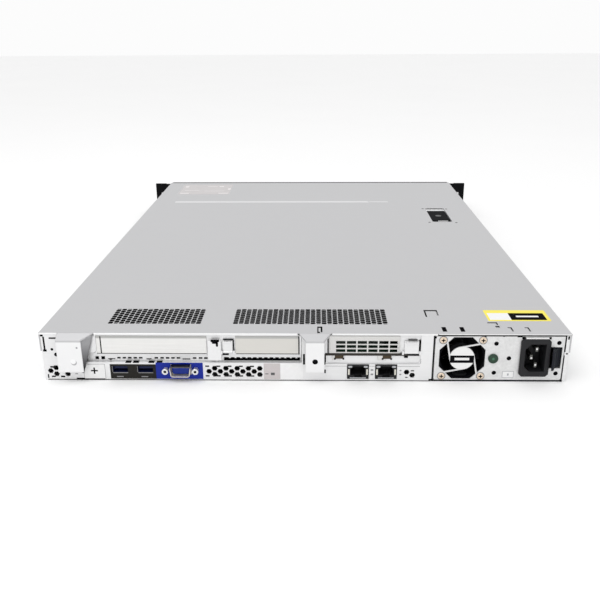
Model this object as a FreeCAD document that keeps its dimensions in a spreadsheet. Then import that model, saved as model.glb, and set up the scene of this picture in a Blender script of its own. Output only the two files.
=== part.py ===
"""A one-unit rack server, seen first from its rear: sheet-metal chassis and hood, riser and
low-profile card slots, port row, slide-out power supply, fan row, main board and four drive bays.

Millimetres. X runs to the right as seen from the rear, Y from the rear towards the drive bays,
Z up. The origin is on the underside of the chassis, on its centreline, half-way along its depth.
"""

import FreeCAD, Part
import math
import os
import Sketcher

doc = FreeCAD.newDocument("rack_server")
sheet = doc.addObject("Spreadsheet::Sheet", "Sizes")

SIZES = [
    # Chassis and hood
    ("body_width", 434.6, "outside of the hood's side flanges"),
    ("body_height", 42.8, "one rack unit less its clearance"),
    ("body_depth", 607.0, "rear panel to drive levers"),
    ("hood_gauge", 1.0, "sheet of the hood"),
    ("pan_gauge", 1.2, "sheet of the pan"),
    ("panel_gauge", 1.0, "sheet of the rear panel"),
    ("slip", 0.2, "clearance between nested sheets"),
    ("lid_gap", 0.3, "hood underside to wall tops"),
    ("flange_drop", 15.3, "height of the hood's side flanges"),
    ("bend_radius", 1.6, "outside radius of the pan's bends"),
    ("stud_setback_rear", 70.0, "first rail stud from the rear"),
    ("stud_setback_front", 92.0, "last rail stud from the front"),
    ("stud_level", 14.0, "height of the rail studs"),
    ("stud_radius", 3.0, "shank of a rail stud"),
    ("stud_shank", 2.6, "length of a rail stud's shank"),
    ("stud_head_radius", 4.6, "head of a rail stud"),
    ("stud_head", 1.4, "thickness of a rail stud's head"),
    # Hood
    ("hood_front_gap", 7.0, "front lip left open in front of the hood"),
    ("bead_setback", 467.0, "stiffening bead from the rear"),
    ("bead_reach", 188.5, "half length of the bead"),
    ("bead_width", 6.0, "width of the bead"),
    ("bead_deep", 0.5, "depth of the bead"),
    ("vent_setback", 25.1, "rearmost row of vent holes from the rear"),
    ("vent_row_pitch", 7.6, "row to row of the vent holes"),
    ("vent_column_pitch", 8.0, "column to column of the vent holes"),
    ("vent_rows", 4, "rows of vent holes"),
    ("vent_hole", 6.4, "across the corners of a vent hole"),
    ("vent_left_start", -161.7, "first column of the left vent"),
    ("vent_left_columns", 10, "columns of the left vent"),
    ("vent_right_start", -54.5, "first column of the right vent"),
    ("vent_right_columns", 16, "columns of the right vent"),
    ("tab_reach", 7.0, "how far the hood's rear tabs stand out"),
    ("tab_drop", 4.0, "how far the tabs' ramps fall"),
    ("tab_left_root", -201.5, "left edge of the left tab's ramp"),
    ("tab_left_root_width", 29.5, "width of that ramp at the hood"),
    ("tab_left_start", -201.4, "left edge of the left tab's plate"),
    ("tab_left_width", 20.4, "width of that plate"),
    ("tab_left_foot", 10.4, "lower end of the left tab"),
    ("tab_mid_root", -3.3, "left edge of the middle tab's ramp"),
    ("tab_mid_root_width", 25.7, "width of that ramp at the hood"),
    ("tab_mid_start", 2.1, "left edge of the middle tab's plate"),
    ("tab_mid_width", 15.0, "width of that plate"),
    ("tab_mid_foot", 11.0, "lower end of the middle tab"),
    ("tab_hole_place", 9.7, "screw hole in the middle tab"),
    ("tab_hole_radius", 2.3, "radius of that screw hole"),
    ("tab_hole_level", 20.6, "height of that screw hole"),
    ("slit", 0.9, "width of a lanced slit"),
    ("flap_start", 105.0, "left edge of the lanced flap"),
    ("flap_width", 10.0, "width of the lanced flap"),
    ("flap_setback", 37.4, "root of the lanced flap from the rear"),
    ("flap_length", 15.6, "length of the lanced flap"),
    ("key_slot_width", 3.0, "width of a hood key slot"),
    ("key_slot_length", 7.4, "length of a hood key slot"),
    ("key_slot_setback", 6.4, "rear end of a hood key slot"),
    ("key_slot_start", 114.2, "left edge of the first key slot"),
    ("key_slot_pitch", 14.7, "first to second key slot"),
    # Hood latch
    ("recess_start", 157.4, "left edge of the latch recess"),
    ("recess_width", 24.6, "width of the latch recess"),
    ("recess_setback", 359.0, "rear end of the latch recess"),
    ("recess_length", 69.0, "length of the latch recess"),
    ("dish_gauge", 0.8, "sheet of the latch dish"),
    ("dish_depth", 9.0, "depth of the latch dish below the hood"),
    ("dish_rim", 5.0, "rim of the dish under the hood"),
    ("lever_gap", 0.6, "clearance round the latch lever"),
    ("lever_thick", 3.4, "thickness of the latch lever"),
    ("lever_sink", 1.2, "lever's top below the hood's top"),
    ("lever_scoop", 8.0, "finger room behind the latch lever"),
    ("lever_pin_radius", 1.2, "latch pivot pin"),
    ("lever_pin_setback", 9.0, "latch pivot from the dish's front end"),
    ("lock_radius", 4.2, "head of the latch lock screw"),
    # Rear panel and its ports
    ("sill", 16.4, "height of the port row, where the slot windows start"),
    ("window_left_start", -182.4, "left edge of the riser window"),
    ("window_left_end", -1.2, "right edge of the riser window"),
    ("window_right_start", 20.0, "left edge of the low-profile window"),
    ("window_right_end", 96.0, "right edge of the low-profile window"),
    ("shelf_depth", 20.0, "depth of the shelf behind the port row"),
    ("shelf_slot", 3.6, "side of a slot in the shelf"),
    ("shelf_slot_pitch", 7.4, "slot to slot along the shelf"),
    ("shelf_slot_setback", 7.6, "slots' near side from the rear"),
    ("port_margin", 0.3, "gap round a port in its cut-out"),
    ("usb_start", -159.6, "left edge of the first USB port"),
    ("usb_pitch", 21.0, "first to second USB port"),
    ("usb_width", 14.4, "outside width of a USB port"),
    ("usb_height", 5.6, "height of a USB port's opening"),
    ("usb_level", 7.4, "underside of a USB port's opening"),
    ("usb_depth", 17.0, "length of a USB port"),
    ("usb_shell", 0.5, "sheet of a USB port's shell"),
    ("usb_tongue", 1.9, "thickness of a USB port's tongue"),
    ("vga_place", -101.8, "centre of the video port"),
    ("vga_level", 10.0, "centre height of the video port"),
    ("vga_screw_pitch", 25.0, "jackscrew to jackscrew"),
    ("vga_top_width", 16.9, "wide side of the D shell"),
    ("vga_low_width", 14.4, "narrow side of the D shell"),
    ("vga_height", 8.3, "height of the D shell"),
    ("vga_reach", 5.6, "how far the D shell stands out"),
    ("vga_plate_width", 30.8, "plate of the video port"),
    ("vga_plate_height", 10.6, "height of that plate"),
    ("vga_plate_gauge", 0.8, "sheet of that plate"),
    ("vga_shell", 0.5, "sheet of the D shell"),
    ("vga_screw_radius", 2.4, "jackscrew, across its flats over two"),
    ("vga_screw_hole", 1.25, "thread hole in a jackscrew"),
    ("vga_screw_reach", 4.6, "how far a jackscrew stands out"),
    ("lan_start", 36.4, "left edge of the first network jack"),
    ("lan_pitch", 23.2, "first to second network jack"),
    ("lan_width", 17.4, "outside width of a network jack"),
    ("lan_height", 12.9, "outside height of a network jack"),
    ("lan_level", 2.3, "underside of a network jack"),
    ("lan_depth", 21.0, "length of a network jack"),
    ("lan_bore_width", 12.0, "plug opening of a network jack"),
    ("lan_bore_height", 8.0, "height of that opening"),
    ("lan_bore_deep", 13.0, "depth of that opening"),
    ("lan_key_width", 6.4, "latch notch of the plug opening"),
    ("lan_key_height", 2.6, "height of the latch notch"),
    ("comb_hole", 5.0, "across the corners of a rear vent hexagon"),
    ("comb_pitch", 5.6, "hexagon to hexagon, up"),
    ("comb_column", 4.69, "column to column of hexagons"),
    ("comb_start", -78.4, "first column of the rear vent"),
    ("comb_columns", 10, "columns of the rear vent"),
    ("comb_level", 8.3, "middle row of the rear vent"),
    ("comb_left", -210.9, "first hexagon of the left cluster"),
    ("comb_right", 85.3, "first hexagon of the right cluster"),
    # Riser and slots
    ("cover_gauge", 1.0, "sheet of the slot covers"),
    ("cover_foot", 24.3, "lower edge of the slot covers"),
    ("riser_start", -171.6, "left edge of the riser cage"),
    ("riser_end", -3.8, "right edge of the riser cage"),
    ("riser_length", 150.0, "riser cage, rear to front"),
    ("riser_gauge", 1.0, "sheet of the riser cage"),
    ("cover_split", -79.4, "where the left cover ends"),
    ("strap_width", 11.0, "middle strap of the riser cage"),
    ("strap_foot", 19.0, "lower end of the strap"),
    ("strap_reach", 1.4, "strap's stand-out from the panel's face"),
    ("riser_latch_start", -65.9, "left edge of the riser latch"),
    ("riser_latch_width", 7.8, "width of the riser latch"),
    ("slot_latch_foot", 25.0, "lower edge of both slot latches"),
    ("slot_latch_top", 36.4, "upper edge of both slot latches"),
    ("slot_latch_gauge", 1.2, "sheet of the slot latches"),
    ("low_cover_start", 21.2, "left edge of the low-profile cover"),
    ("low_cover_end", 80.0, "right edge of the low-profile cover"),
    ("low_cell_width", 7.6, "cell of the low-profile cover's grille"),
    ("low_cell_pitch", 8.78, "cell to cell, across"),
    ("low_cell_start", 26.8, "first cell's left edge"),
    ("low_cell_height", 2.7, "height of a cell"),
    ("low_cell_rise", 3.7, "cell to cell, up"),
    ("low_cell_level", 26.2, "lowest cell's lower edge"),
    ("low_tab_width", 7.0, "hooks under the low-profile cover"),
    ("low_latch_start", 82.6, "left edge of the low-profile latch"),
    ("low_latch_width", 11.6, "width of the low-profile latch"),
    ("trunnion", 0.7, "stubs that a slot latch turns on"),
    ("trunnion_fit", 0.05, "running clearance of those stubs"),
    ("riser_board_place", -73.0, "centre of the riser board"),
    ("board_gauge", 1.6, "circuit board thickness"),
    # Power supply
    ("bay_gap", 0.5, "power supply to its bay, each side"),
    ("psu_start", 107.6, "left side of the power supply"),
    ("psu_width", 104.6, "width of the power supply"),
    ("psu_height", 39.0, "height of the power supply"),
    ("psu_level", 1.7, "underside of the power supply"),
    ("psu_length", 220.0, "length of the power supply"),
    ("psu_gauge", 0.8, "sheet of the power supply's case"),
    ("fan_size", 40.0, "side of every fan frame"),
    ("fan_depth", 28.0, "length of every fan frame"),
    ("fan_bore", 18.8, "radius of a fan's duct"),
    ("fan_hub", 10.4, "radius of a fan's hub"),
    ("fan_tip", 18.1, "radius of the blade tips"),
    ("fan_blades", 7, "blades of a rotor"),
    ("fan_blade_gauge", 1.3, "thickness of a blade"),
    ("fan_hub_length", 18.0, "length of a rotor's hub"),
    ("fan_run", 0.4, "running gap between rotor and motor seat"),
    ("fan_seat", 3.0, "thickness of a fan's motor seat"),
    ("fan_strut", 2.0, "width of a fan's struts"),
    ("shaft_radius", 1.5, "shaft of a rotor"),
    ("shaft_fit", 0.05, "running clearance of a shaft in its bearing"),
    ("case_hole", 1.9, "radius of a hole in the supply's rear face"),
    ("guard_width", 37.4, "fan opening of the power supply"),
    ("guard_flat", 15.0, "top flat of that opening"),
    ("guard_hub", 10.3, "disc in the middle of that opening"),
    ("guard_strut", 1.3, "width of the struts that hold the disc"),
    ("guard_place", 22.4, "centre of that opening from the case's left side"),
    ("lamp_place", 47.7, "status lamp from the case's left side"),
    ("lamp_level", 19.4, "status lamp above the case's underside"),
    ("lamp_radius", 4.1, "status lamp"),
    ("inlet_place", 81.2, "centre of the mains inlet from the case's left side"),
    ("inlet_level", 20.6, "centre of the mains inlet above the case's underside"),
    ("inlet_width", 24.0, "flange of the mains inlet"),
    ("inlet_height", 33.4, "height of that flange"),
    ("inlet_reach", 2.0, "how far the flange stands out"),
    ("inlet_corner", 2.2, "corner cut of the flange"),
    ("socket_width", 16.6, "opening of the mains inlet"),
    ("socket_height", 24.4, "height of that opening"),
    ("socket_deep", 16.5, "depth of that opening"),
    ("socket_corner", 4.4, "cut corners on the earth side"),
    ("blade_length", 14.5, "length of the inlet's contacts"),
    ("blade_wide", 4.0, "width of the inlet's contacts"),
    ("blade_thick", 2.0, "thickness of the inlet's contacts"),
    ("blade_pitch", 14.0, "line contact to neutral contact"),
    ("blade_offset", 4.0, "earth contact out of their line"),
    ("psu_latch_width", 7.4, "width of the supply's release lever"),
    ("psu_latch_height", 17.4, "height of the release lever"),
    ("psu_latch_reach", 6.5, "how far the release lever stands out"),
    ("psu_latch_place", 93.6, "release lever from the case's left side"),
    ("psu_latch_level", 11.4, "release lever above the case's underside"),
    # Inside
    ("main_board_level", 3.0, "underside of the main board"),
    ("main_board_setback", 4.0, "main board from the rear"),
    ("main_board_length", 376.0, "length of the main board"),
    ("main_board_wing", 152.0, "right edge of its wide part"),
    ("post_radius", 3.0, "board stand-off post"),
    ("cooler_width", 78.0, "processor cooler across"),
    ("cooler_length", 96.0, "processor cooler along the air"),
    ("cooler_height", 25.0, "height of a processor cooler"),
    ("cooler_base", 4.0, "base of a processor cooler"),
    ("cooler_fins", 13, "fins of a processor cooler"),
    ("cooler_fin_gauge", 1.0, "thickness of a fin"),
    ("cooler_left", -172.0, "left processor cooler"),
    ("cooler_right", -10.0, "right processor cooler"),
    ("cooler_setback", 262.0, "coolers from the rear"),
    ("memory_length", 133.4, "length of a memory module"),
    ("memory_height", 30.0, "height of a memory module"),
    ("memory_pitch", 9.4, "module to module"),
    ("memory_setback", 240.0, "modules from the rear"),
    ("socket_wide", 6.6, "width of a memory socket"),
    ("socket_tall", 8.0, "height of a memory socket"),
    ("fan_row_setback", 386.0, "fan row from the rear"),
    ("fan_row_start", -176.0, "centre of the first fan"),
    ("fan_row_pitch", 70.0, "fan to fan"),
    # Drive bays
    ("bay_height", 29.4, "clear height of the drive bays"),
    ("bay_wall", 1.0, "sheet of the drive cage"),
    ("bay_clear", 0.4, "carrier to bay wall"),
    ("cage_depth", 168.0, "drive cage, front to back"),
    ("cage_front", 10.0, "drive cage behind the front"),
    ("drive_width", 101.6, "3.5-inch drive"),
    ("drive_length", 147.0, "3.5-inch drive"),
    ("drive_height", 26.1, "3.5-inch drive"),
    ("drive_level", 2.0, "underside of a drive"),
    ("drive_corner", 2.5, "corner bevel of a drive"),
    ("rail_gauge", 1.1, "side rail of a carrier"),
    ("bezel_thick", 7.0, "front of a carrier"),
    ("bezel_cells", 3, "slots in a carrier's front"),
    ("bar_length", 84.0, "carrier lever"),
    ("bar_height", 9.0, "height of a carrier lever"),
    ("bar_thick", 3.6, "thickness of a carrier lever"),
    ("bar_level", 10.4, "underside of a carrier lever"),
    ("bar_pin_radius", 1.3, "pivot of a carrier lever"),
    ("button_radius", 4.0, "front button"),
    ("button_fit", 0.1, "running clearance round a button"),
    ("button_depth", 6.0, "depth of a button in its well"),
    ("button_travel", 1.5, "travel of a button"),
    ("button_place", 176.0, "power button from the centreline"),
    ("button_pitch", 14.0, "power button to locator button"),
    ("button_level", 36.0, "height of the front buttons"),
    # Rack ears
    ("ear_span", 482.6, "ear tip to ear tip"),
    ("ear_setback", 11.0, "back of the ears behind the front"),
    ("ear_thick", 3.0, "thickness of the ears"),
    ("ear_slot_pitch", 31.75, "slot to slot, up"),
    ("ear_slot_span", 465.1, "slot to slot, across"),
    ("ear_slot_radius", 3.4, "half width of an ear slot"),
    ("ear_slot_length", 10.4, "length of an ear slot"),
    ("ear_height", 41.2, "height of the ears"),
]

for row, (alias, value, note) in enumerate(SIZES, start=1):
    sheet.set(f"A{row}", alias)
    sheet.set(f"B{row}", str(value))
    sheet.setAlias(f"B{row}", alias)
    sheet.set(f"C{row}", note)


class Length:
    """A length that carries the sheet's own expression, so that every size made from it stays bound."""

    def __init__(self, number, text):
        self.number = number
        self.text = text

    def __add__(self, other):
        other = length(other)
        return Length(self.number + other.number, f"({self.text} + {other.text})")

    def __sub__(self, other):
        other = length(other)
        return Length(self.number - other.number, f"({self.text} - {other.text})")

    def __mul__(self, other):
        other = length(other)
        return Length(self.number * other.number, f"({self.text} * {other.text})")

    def __truediv__(self, other):
        other = length(other)
        return Length(self.number / other.number, f"({self.text} / {other.text})")

    def __radd__(self, other):
        return length(other) + self

    def __rsub__(self, other):
        return length(other) - self

    def __rmul__(self, other):
        return length(other) * self

    def __neg__(self):
        return Length(-self.number, f"(0 - {self.text})")

    def root(self):
        return Length(math.sqrt(self.number), f"sqrt({self.text})")


def length(value):
    if isinstance(value, Length):
        return value
    return Length(value, f"({value:.9g})")


class At:
    """Every named size of the sheet, as at.name."""


at = At()
for alias, value, note in SIZES:
    setattr(at, alias, Length(value, "Sizes." + alias))


# Solids from sizes: each helper binds what it draws to the sheet
def bind(thing, prop, value):
    thing.setExpression(prop, length(value).text)


def place(thing, x=0, y=0, z=0):
    for letter, value in zip("xyz", (x, y, z)):
        bind(thing, "Placement.Base." + letter, value)


def block(name, x, y, z):
    """A box between two values on each axis."""
    box = doc.addObject("Part::Box", name)
    for prop, (low, high) in zip(("Length", "Width", "Height"), (x, y, z)):
        bind(box, prop, length(high) - low)
    place(box, x[0], y[0], z[0])
    return box


TURNS = {
    "x": FreeCAD.Rotation(FreeCAD.Vector(0, 1, 0), 90),
    "y": FreeCAD.Rotation(FreeCAD.Vector(1, 0, 0), -90),
    "z": FreeCAD.Rotation(),
}


def rod(name, along, radius, span, x=0, y=0, z=0):
    """A round bar along one axis, between two values on it."""
    bar = doc.addObject("Part::Cylinder", name)
    bar.Placement = FreeCAD.Placement(FreeCAD.Vector(), TURNS[along])
    bind(bar, "Radius", radius)
    bind(bar, "Height", length(span[1]) - span[0])
    centre = {"x": x, "y": y, "z": z}
    centre[along] = span[0]
    place(bar, **centre)
    return bar


def cut(name, base, *tools):
    result = doc.addObject("Part::Cut", name)
    result.Base = base
    result.Tool = tools[0] if len(tools) == 1 else compound(name + "_tools", *tools)
    return result


def fuse(name, *shapes):
    result = doc.addObject("Part::MultiFuse", name)
    result.Shapes = list(shapes)
    result.Refine = True
    return result


def compound(name, *shapes):
    result = doc.addObject("Part::Compound", name)
    result.Links = list(shapes)
    return result


PLANES = {"XY": "XY_Plane", "XZ": "XZ_Plane", "YZ": "YZ_Plane"}


def drawing(body, name, plane, level, points):
    """A closed outline on one of the body's planes, each corner bound to its sizes."""
    sketch = body.newObject("Sketcher::SketchObject", name)
    origin_plane = [item for item in body.Origin.OriginFeatures if item.Role == PLANES[plane]][0]
    sketch.AttachmentSupport = [(origin_plane, "")]
    sketch.MapMode = "FlatFace"
    level = -length(level) if plane == "XZ" else length(level)
    bind(sketch, "AttachmentOffset.Base.z", level)
    corners = [(length(a), length(b)) for a, b in points]
    count = len(corners)
    for index, (a, b) in enumerate(corners):
        to_a, to_b = corners[(index + 1) % count]
        start = FreeCAD.Vector(a.number, b.number, 0)
        end = FreeCAD.Vector(to_a.number, to_b.number, 0)
        sketch.addGeometry(Part.LineSegment(start, end))
    for index in range(count):
        sketch.addConstraint(Sketcher.Constraint("Coincident", index, 2, (index + 1) % count, 1))
    for index, (a, b) in enumerate(corners):
        across = sketch.addConstraint(Sketcher.Constraint("DistanceX", -1, 1, index, 1, a.number))
        sketch.setExpression(f"Constraints[{across}]", a.text)
        up = sketch.addConstraint(Sketcher.Constraint("DistanceY", -1, 1, index, 1, b.number))
        sketch.setExpression(f"Constraints[{up}]", b.text)
    return sketch


def prism(name, plane, points, span):
    """A body padded from an outline, between two values on the axis across its plane."""
    body = doc.addObject("PartDesign::Body", name)
    sketch = drawing(body, name + "_outline", plane, span[0], points)
    pad = body.newObject("PartDesign::Pad", name + "_pad")
    pad.Profile = sketch
    bind(pad, "Length", length(span[1]) - span[0])
    pad.Reversed = plane == "XZ"
    body.Tip = pad
    return body


def soften(body, radius, chosen):
    """Rounds the edges of a body that a test on each edge's middle and direction picks."""
    doc.recompute()
    last = body.Tip
    picked = []
    for index, edge in enumerate(last.Shape.Edges, start=1):
        middle = edge.valueAt((edge.FirstParameter + edge.LastParameter) / 2)
        way = edge.tangentAt((edge.FirstParameter + edge.LastParameter) / 2)
        if chosen(middle, way):
            picked.append(f"Edge{index}")
    fillet = body.newObject("PartDesign::Fillet", body.Name + "_bend")
    fillet.Base = (last, picked)
    bind(fillet, "Radius", radius)
    body.Tip = fillet
    return body


def near(value, size):
    return abs(value - length(size).number) < 0.01


def hexagon(x, z, across):
    """Corners of an upright hexagon, point to point across."""
    half = across / 2
    low = across * (math.sqrt(3) / 4)
    quarter = across / 4
    return [(x - half, z), (x - quarter, z - low), (x + quarter, z - low),
            (x + half, z), (x + quarter, z + low), (x - quarter, z + low)]


def regular(x, z, radius, count):
    """Corners of a regular outline, flat side down."""
    turn = 2 * math.pi / count
    return [(x + radius * math.sin(turn * (index + 0.5)), z - radius * math.cos(turn * (index + 0.5)))
            for index in range(count)]


def regular_about(x, z, radius, count):
    """Corners of a regular outline whose sides clear a circle of that radius."""
    return regular(x, z, radius / math.cos(math.pi / count), count)


def octagon(x, z, across, flat):
    half = across / 2
    side = flat / 2
    return [(x - half, z - side), (x - side, z - half), (x + side, z - half), (x + half, z - side),
            (x + half, z + side), (x + side, z + half), (x - side, z + half), (x - half, z + side)]


def span_about(centre, width):
    return (centre - width / 2, centre + width / 2)


nodes = {}


def node(name, thing):
    """Gives a finished sub-part its name."""
    thing.Label = name
    nodes[name] = thing
    return thing


# Planes that several pieces share
rear = -at.body_depth / 2
front = at.body_depth / 2
half_width = at.body_width / 2
hood_top = at.body_height
hood_under = hood_top - at.hood_gauge
wall_top = hood_under - at.lid_gap
wall_out = half_width - at.hood_gauge - at.slip
wall_in = wall_out - at.pan_gauge
floor = at.pan_gauge
panel_in = rear + at.panel_gauge
shelf_under = at.sill - at.panel_gauge
board_top = at.main_board_level + at.board_gauge
pan_front = front - at.ear_setback


# Base pan: floor and side walls in one bent sheet
pan = prism("base_pan_sheet", "XZ",
            [(-wall_out, 0), (wall_out, 0), (wall_out, wall_top), (wall_in, wall_top),
             (wall_in, floor), (-wall_in, floor), (-wall_in, wall_top), (-wall_out, wall_top)],
            (panel_in, pan_front))
soften(pan, at.bend_radius, lambda middle, way: abs(way.y) > 0.9 and middle.z < 0.01)


# Rear panel: one sheet with the slot windows, the supply bay, the port row and its shelf
bay_start = at.psu_start - at.bay_gap
bay_end = at.psu_start + at.psu_width + at.bay_gap
face = prism("rear_panel_face", "XZ",
             [(-wall_out, 0), (wall_out, 0), (wall_out, wall_top), (bay_end, wall_top),
              (bay_end, floor), (bay_start, floor), (bay_start, wall_top),
              (at.window_right_end, wall_top), (at.window_right_end, at.sill),
              (at.window_right_start, at.sill), (at.window_right_start, wall_top),
              (at.window_left_end, wall_top), (at.window_left_end, at.sill),
              (at.window_left_start, at.sill), (at.window_left_start, wall_top),
              (-wall_out, wall_top)],
             (rear, panel_in))
soften(face, 3 * at.panel_gauge,
       lambda middle, way: abs(way.y) > 0.9 and near(middle.z, at.sill)
       and near(middle.x, at.window_right_end))
shelves = []
for side, start, end in (("left", at.window_left_start, at.window_left_end),
                         ("right", at.window_right_start, at.window_right_end - 3 * at.panel_gauge)):
    shelves.append(block("shelf_" + side, (start, end), (panel_in, rear + at.shelf_depth),
                         (shelf_under, at.sill)))
holes = []
through = (rear - 1, panel_in + 1)


def panel_hole(x, z):
    holes.append(block("port_cut", x, through, z))


def comb_hole(x, z, across=None):
    points = hexagon(length(x), length(z), across or at.comb_hole)
    holes.append(prism("comb_cut", "XZ", points, through))


for index in range(2):
    usb_left = at.usb_start + index * at.usb_pitch
    panel_hole((usb_left, usb_left + at.usb_width),
               (at.usb_level - at.usb_shell, at.usb_level + at.usb_height + at.usb_shell))
    lan_left = at.lan_start + index * at.lan_pitch
    panel_hole((lan_left - at.port_margin, lan_left + at.lan_width + at.port_margin),
               (at.lan_level - at.port_margin, shelf_under - at.port_margin / 2))
panel_hole(span_about(at.vga_place, at.vga_top_width + 2 * at.port_margin + 2 * at.vga_shell),
           span_about(at.vga_level, at.vga_height + 2 * at.port_margin + 2 * at.vga_shell))
for side in (-0.5, 0.5):
    holes.append(rod("jackscrew_cut", "y", at.vga_screw_radius + at.port_margin, through,
                     x=at.vga_place + side * at.vga_screw_pitch, z=at.vga_level))
for column in range(int(at.comb_columns.number)):
    column_x = at.comb_start + column * at.comb_column
    if column % 2 == 0:
        comb_hole(column_x, at.comb_level)
    else:
        for side in (-0.5, 0.5):
            comb_hole(column_x, at.comb_level + side * at.comb_pitch)
comb_hole(at.comb_left, at.comb_level)
for side in (-0.5, 0.5):
    comb_hole(at.comb_left + at.comb_column, at.comb_level + side * at.comb_pitch)
comb_hole(at.comb_left + 3 * at.comb_column, at.comb_level - at.comb_pitch / 2)
comb_hole(at.comb_right, at.comb_level)
comb_hole(at.comb_right + at.comb_column, at.comb_level - at.comb_pitch / 2)
slot_count = int((at.window_left_end.number - at.window_left_start.number)
                 // at.shelf_slot_pitch.number) - 1
for index in range(slot_count):
    slot_x = at.window_left_start + (index + 1) * at.shelf_slot_pitch
    slot_y = rear + at.shelf_slot_setback
    holes.append(block("shelf_cut", (slot_x, slot_x + at.shelf_slot), (slot_y, slot_y + at.shelf_slot),
                       (shelf_under - 1, at.sill + 1)))


# Main board, with the notch that lets the network jacks sit low, and its posts
board_left = -wall_in + 6
board_right = bay_start - 7
board_rear = rear + at.main_board_setback
board_front = board_rear + at.main_board_length
wing_start = rear + at.psu_length + 20
notch_front = panel_in + at.lan_depth
notch_left = at.lan_start - at.port_margin
notch_right = at.lan_start + at.lan_pitch + at.lan_width + at.port_margin
main_board = prism("main_board_sheet", "XY",
                   [(board_left, board_rear), (notch_left, board_rear), (notch_left, notch_front),
                    (notch_right, notch_front), (notch_right, board_rear), (board_right, board_rear),
                    (board_right, wing_start), (at.main_board_wing, wing_start),
                    (at.main_board_wing, board_front), (board_left, board_front)],
                   (at.main_board_level, board_top))
node("main_board", main_board)
supply_board_start = at.main_board_wing + 3
supply_board_rear = rear + at.psu_length + 4
posts = []
post_span = (floor, at.main_board_level)
post_rows = [board_rear + 30, board_rear + at.main_board_length / 2, board_front - 12]
for post_y in post_rows:
    for post_x in (board_left + 8, board_right - 90, board_right - 8):
        posts.append(prism("post", "XY", regular(post_x, post_y, at.post_radius, 6), post_span))
for post_y in (supply_board_rear + 8, supply_board_rear + 90):
    posts.append(prism("post", "XY", regular(supply_board_start + 28, post_y, at.post_radius, 6), post_span))
node("base_pan", fuse("base_pan_body", pan, *posts))


# Port row: shells that open to the rear, each with its tongue or contacts' space
usb_shapes = []
for index in range(2):
    left = at.usb_start + index * at.usb_pitch
    shell = block("usb_shell_block", (left, left + at.usb_width), (rear, rear + at.usb_depth),
                  (at.usb_level - at.usb_shell, at.usb_level + at.usb_height + at.usb_shell))
    foot = block("usb_foot", (left, left + at.usb_width), (panel_in, rear + at.usb_depth),
                 (board_top, at.usb_level - at.usb_shell))
    cavity = block("usb_cavity", (left + 2 * at.usb_shell, left + at.usb_width - 2 * at.usb_shell),
                   (rear - 1, rear + at.usb_depth - 3), (at.usb_level, at.usb_level + at.usb_height))
    tongue = block("usb_tongue_block", (left + 3 * at.usb_shell, left + at.usb_width - 3 * at.usb_shell),
                   (rear + 2, rear + at.usb_depth - 2),
                   (at.usb_level + at.usb_height - at.usb_tongue - 1.2, at.usb_level + at.usb_height - 1.2))
    usb_shapes.append(fuse("usb_port", cut("usb_hollow", shell, cavity), foot, tongue))
node("usb_ports", compound("usb_port_pair", *usb_shapes))
lan_shapes = []
for index in range(2):
    left = at.lan_start + index * at.lan_pitch
    centre = left + at.lan_width / 2
    shell = block("lan_block", (left, left + at.lan_width), (rear - 0.6, panel_in + at.lan_depth),
                  (at.lan_level, at.lan_level + at.lan_height))
    bore_foot = at.lan_level + 3.4
    bore = block("lan_bore", span_about(centre, at.lan_bore_width),
                 (rear - 2, rear - 0.6 + at.lan_bore_deep), (bore_foot, bore_foot + at.lan_bore_height))
    key = block("lan_key", span_about(centre, at.lan_key_width), (rear - 2, rear - 0.6 + at.lan_bore_deep),
                (bore_foot - at.lan_key_height, bore_foot + 1))
    lan_shapes.append(cut("lan_jack", shell, bore, key))
node("lan_jacks", compound("lan_jack_pair", *lan_shapes))


def d_outline(x, z, grow):
    """The five-sided D of a video port, grown by a margin."""
    wide = at.vga_top_width / 2 + grow
    narrow = at.vga_low_width / 2 + grow
    high = at.vga_height / 2 + grow
    return [(x - narrow, z - high), (x + narrow, z - high), (x + wide, z + high), (x - wide, z + high)]


plate = block("vga_plate", span_about(at.vga_place, at.vga_plate_width),
              (panel_in, panel_in + at.vga_plate_gauge), span_about(at.vga_level, at.vga_plate_height))
shroud = prism("vga_shroud", "XZ", d_outline(at.vga_place, at.vga_level, at.vga_shell),
               (rear - at.vga_reach, panel_in + at.vga_plate_gauge))
for_corners = 4 * at.vga_shell
soften(shroud, for_corners, lambda middle, way: abs(way.y) > 0.9)
shroud_bore = prism("vga_bore", "XZ", d_outline(at.vga_place, at.vga_level, -at.vga_shell * 0.2),
                    (rear - at.vga_reach - 1, panel_in))
shell_back = block("vga_back", span_about(at.vga_place, at.vga_top_width + 4 * at.vga_shell),
                   (panel_in + at.vga_plate_gauge, panel_in + 12),
                   (board_top, at.vga_level + at.vga_plate_height / 2))
screws = []
for side in (-0.5, 0.5):
    centre = at.vga_place + side * at.vga_screw_pitch
    points = hexagon(centre, at.vga_level, 2 * at.vga_screw_radius)
    screw = prism("vga_jackscrew", "XZ", points, (rear - at.vga_screw_reach, panel_in))
    bore = rod("vga_thread", "y", at.vga_screw_hole, (rear - at.vga_screw_reach - 1, rear), x=centre,
               z=at.vga_level)
    screws.append(cut("vga_screw", screw, bore))
node("vga_port", fuse("vga_port_body", plate, cut("vga_shell_open", shroud, shroud_bore), shell_back,
                      *screws))
insert = prism("vga_insert_body", "XZ", d_outline(at.vga_place, at.vga_level, -at.vga_shell * 1.6),
               (rear - 1.5, panel_in))
node("vga_insert", insert)


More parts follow.
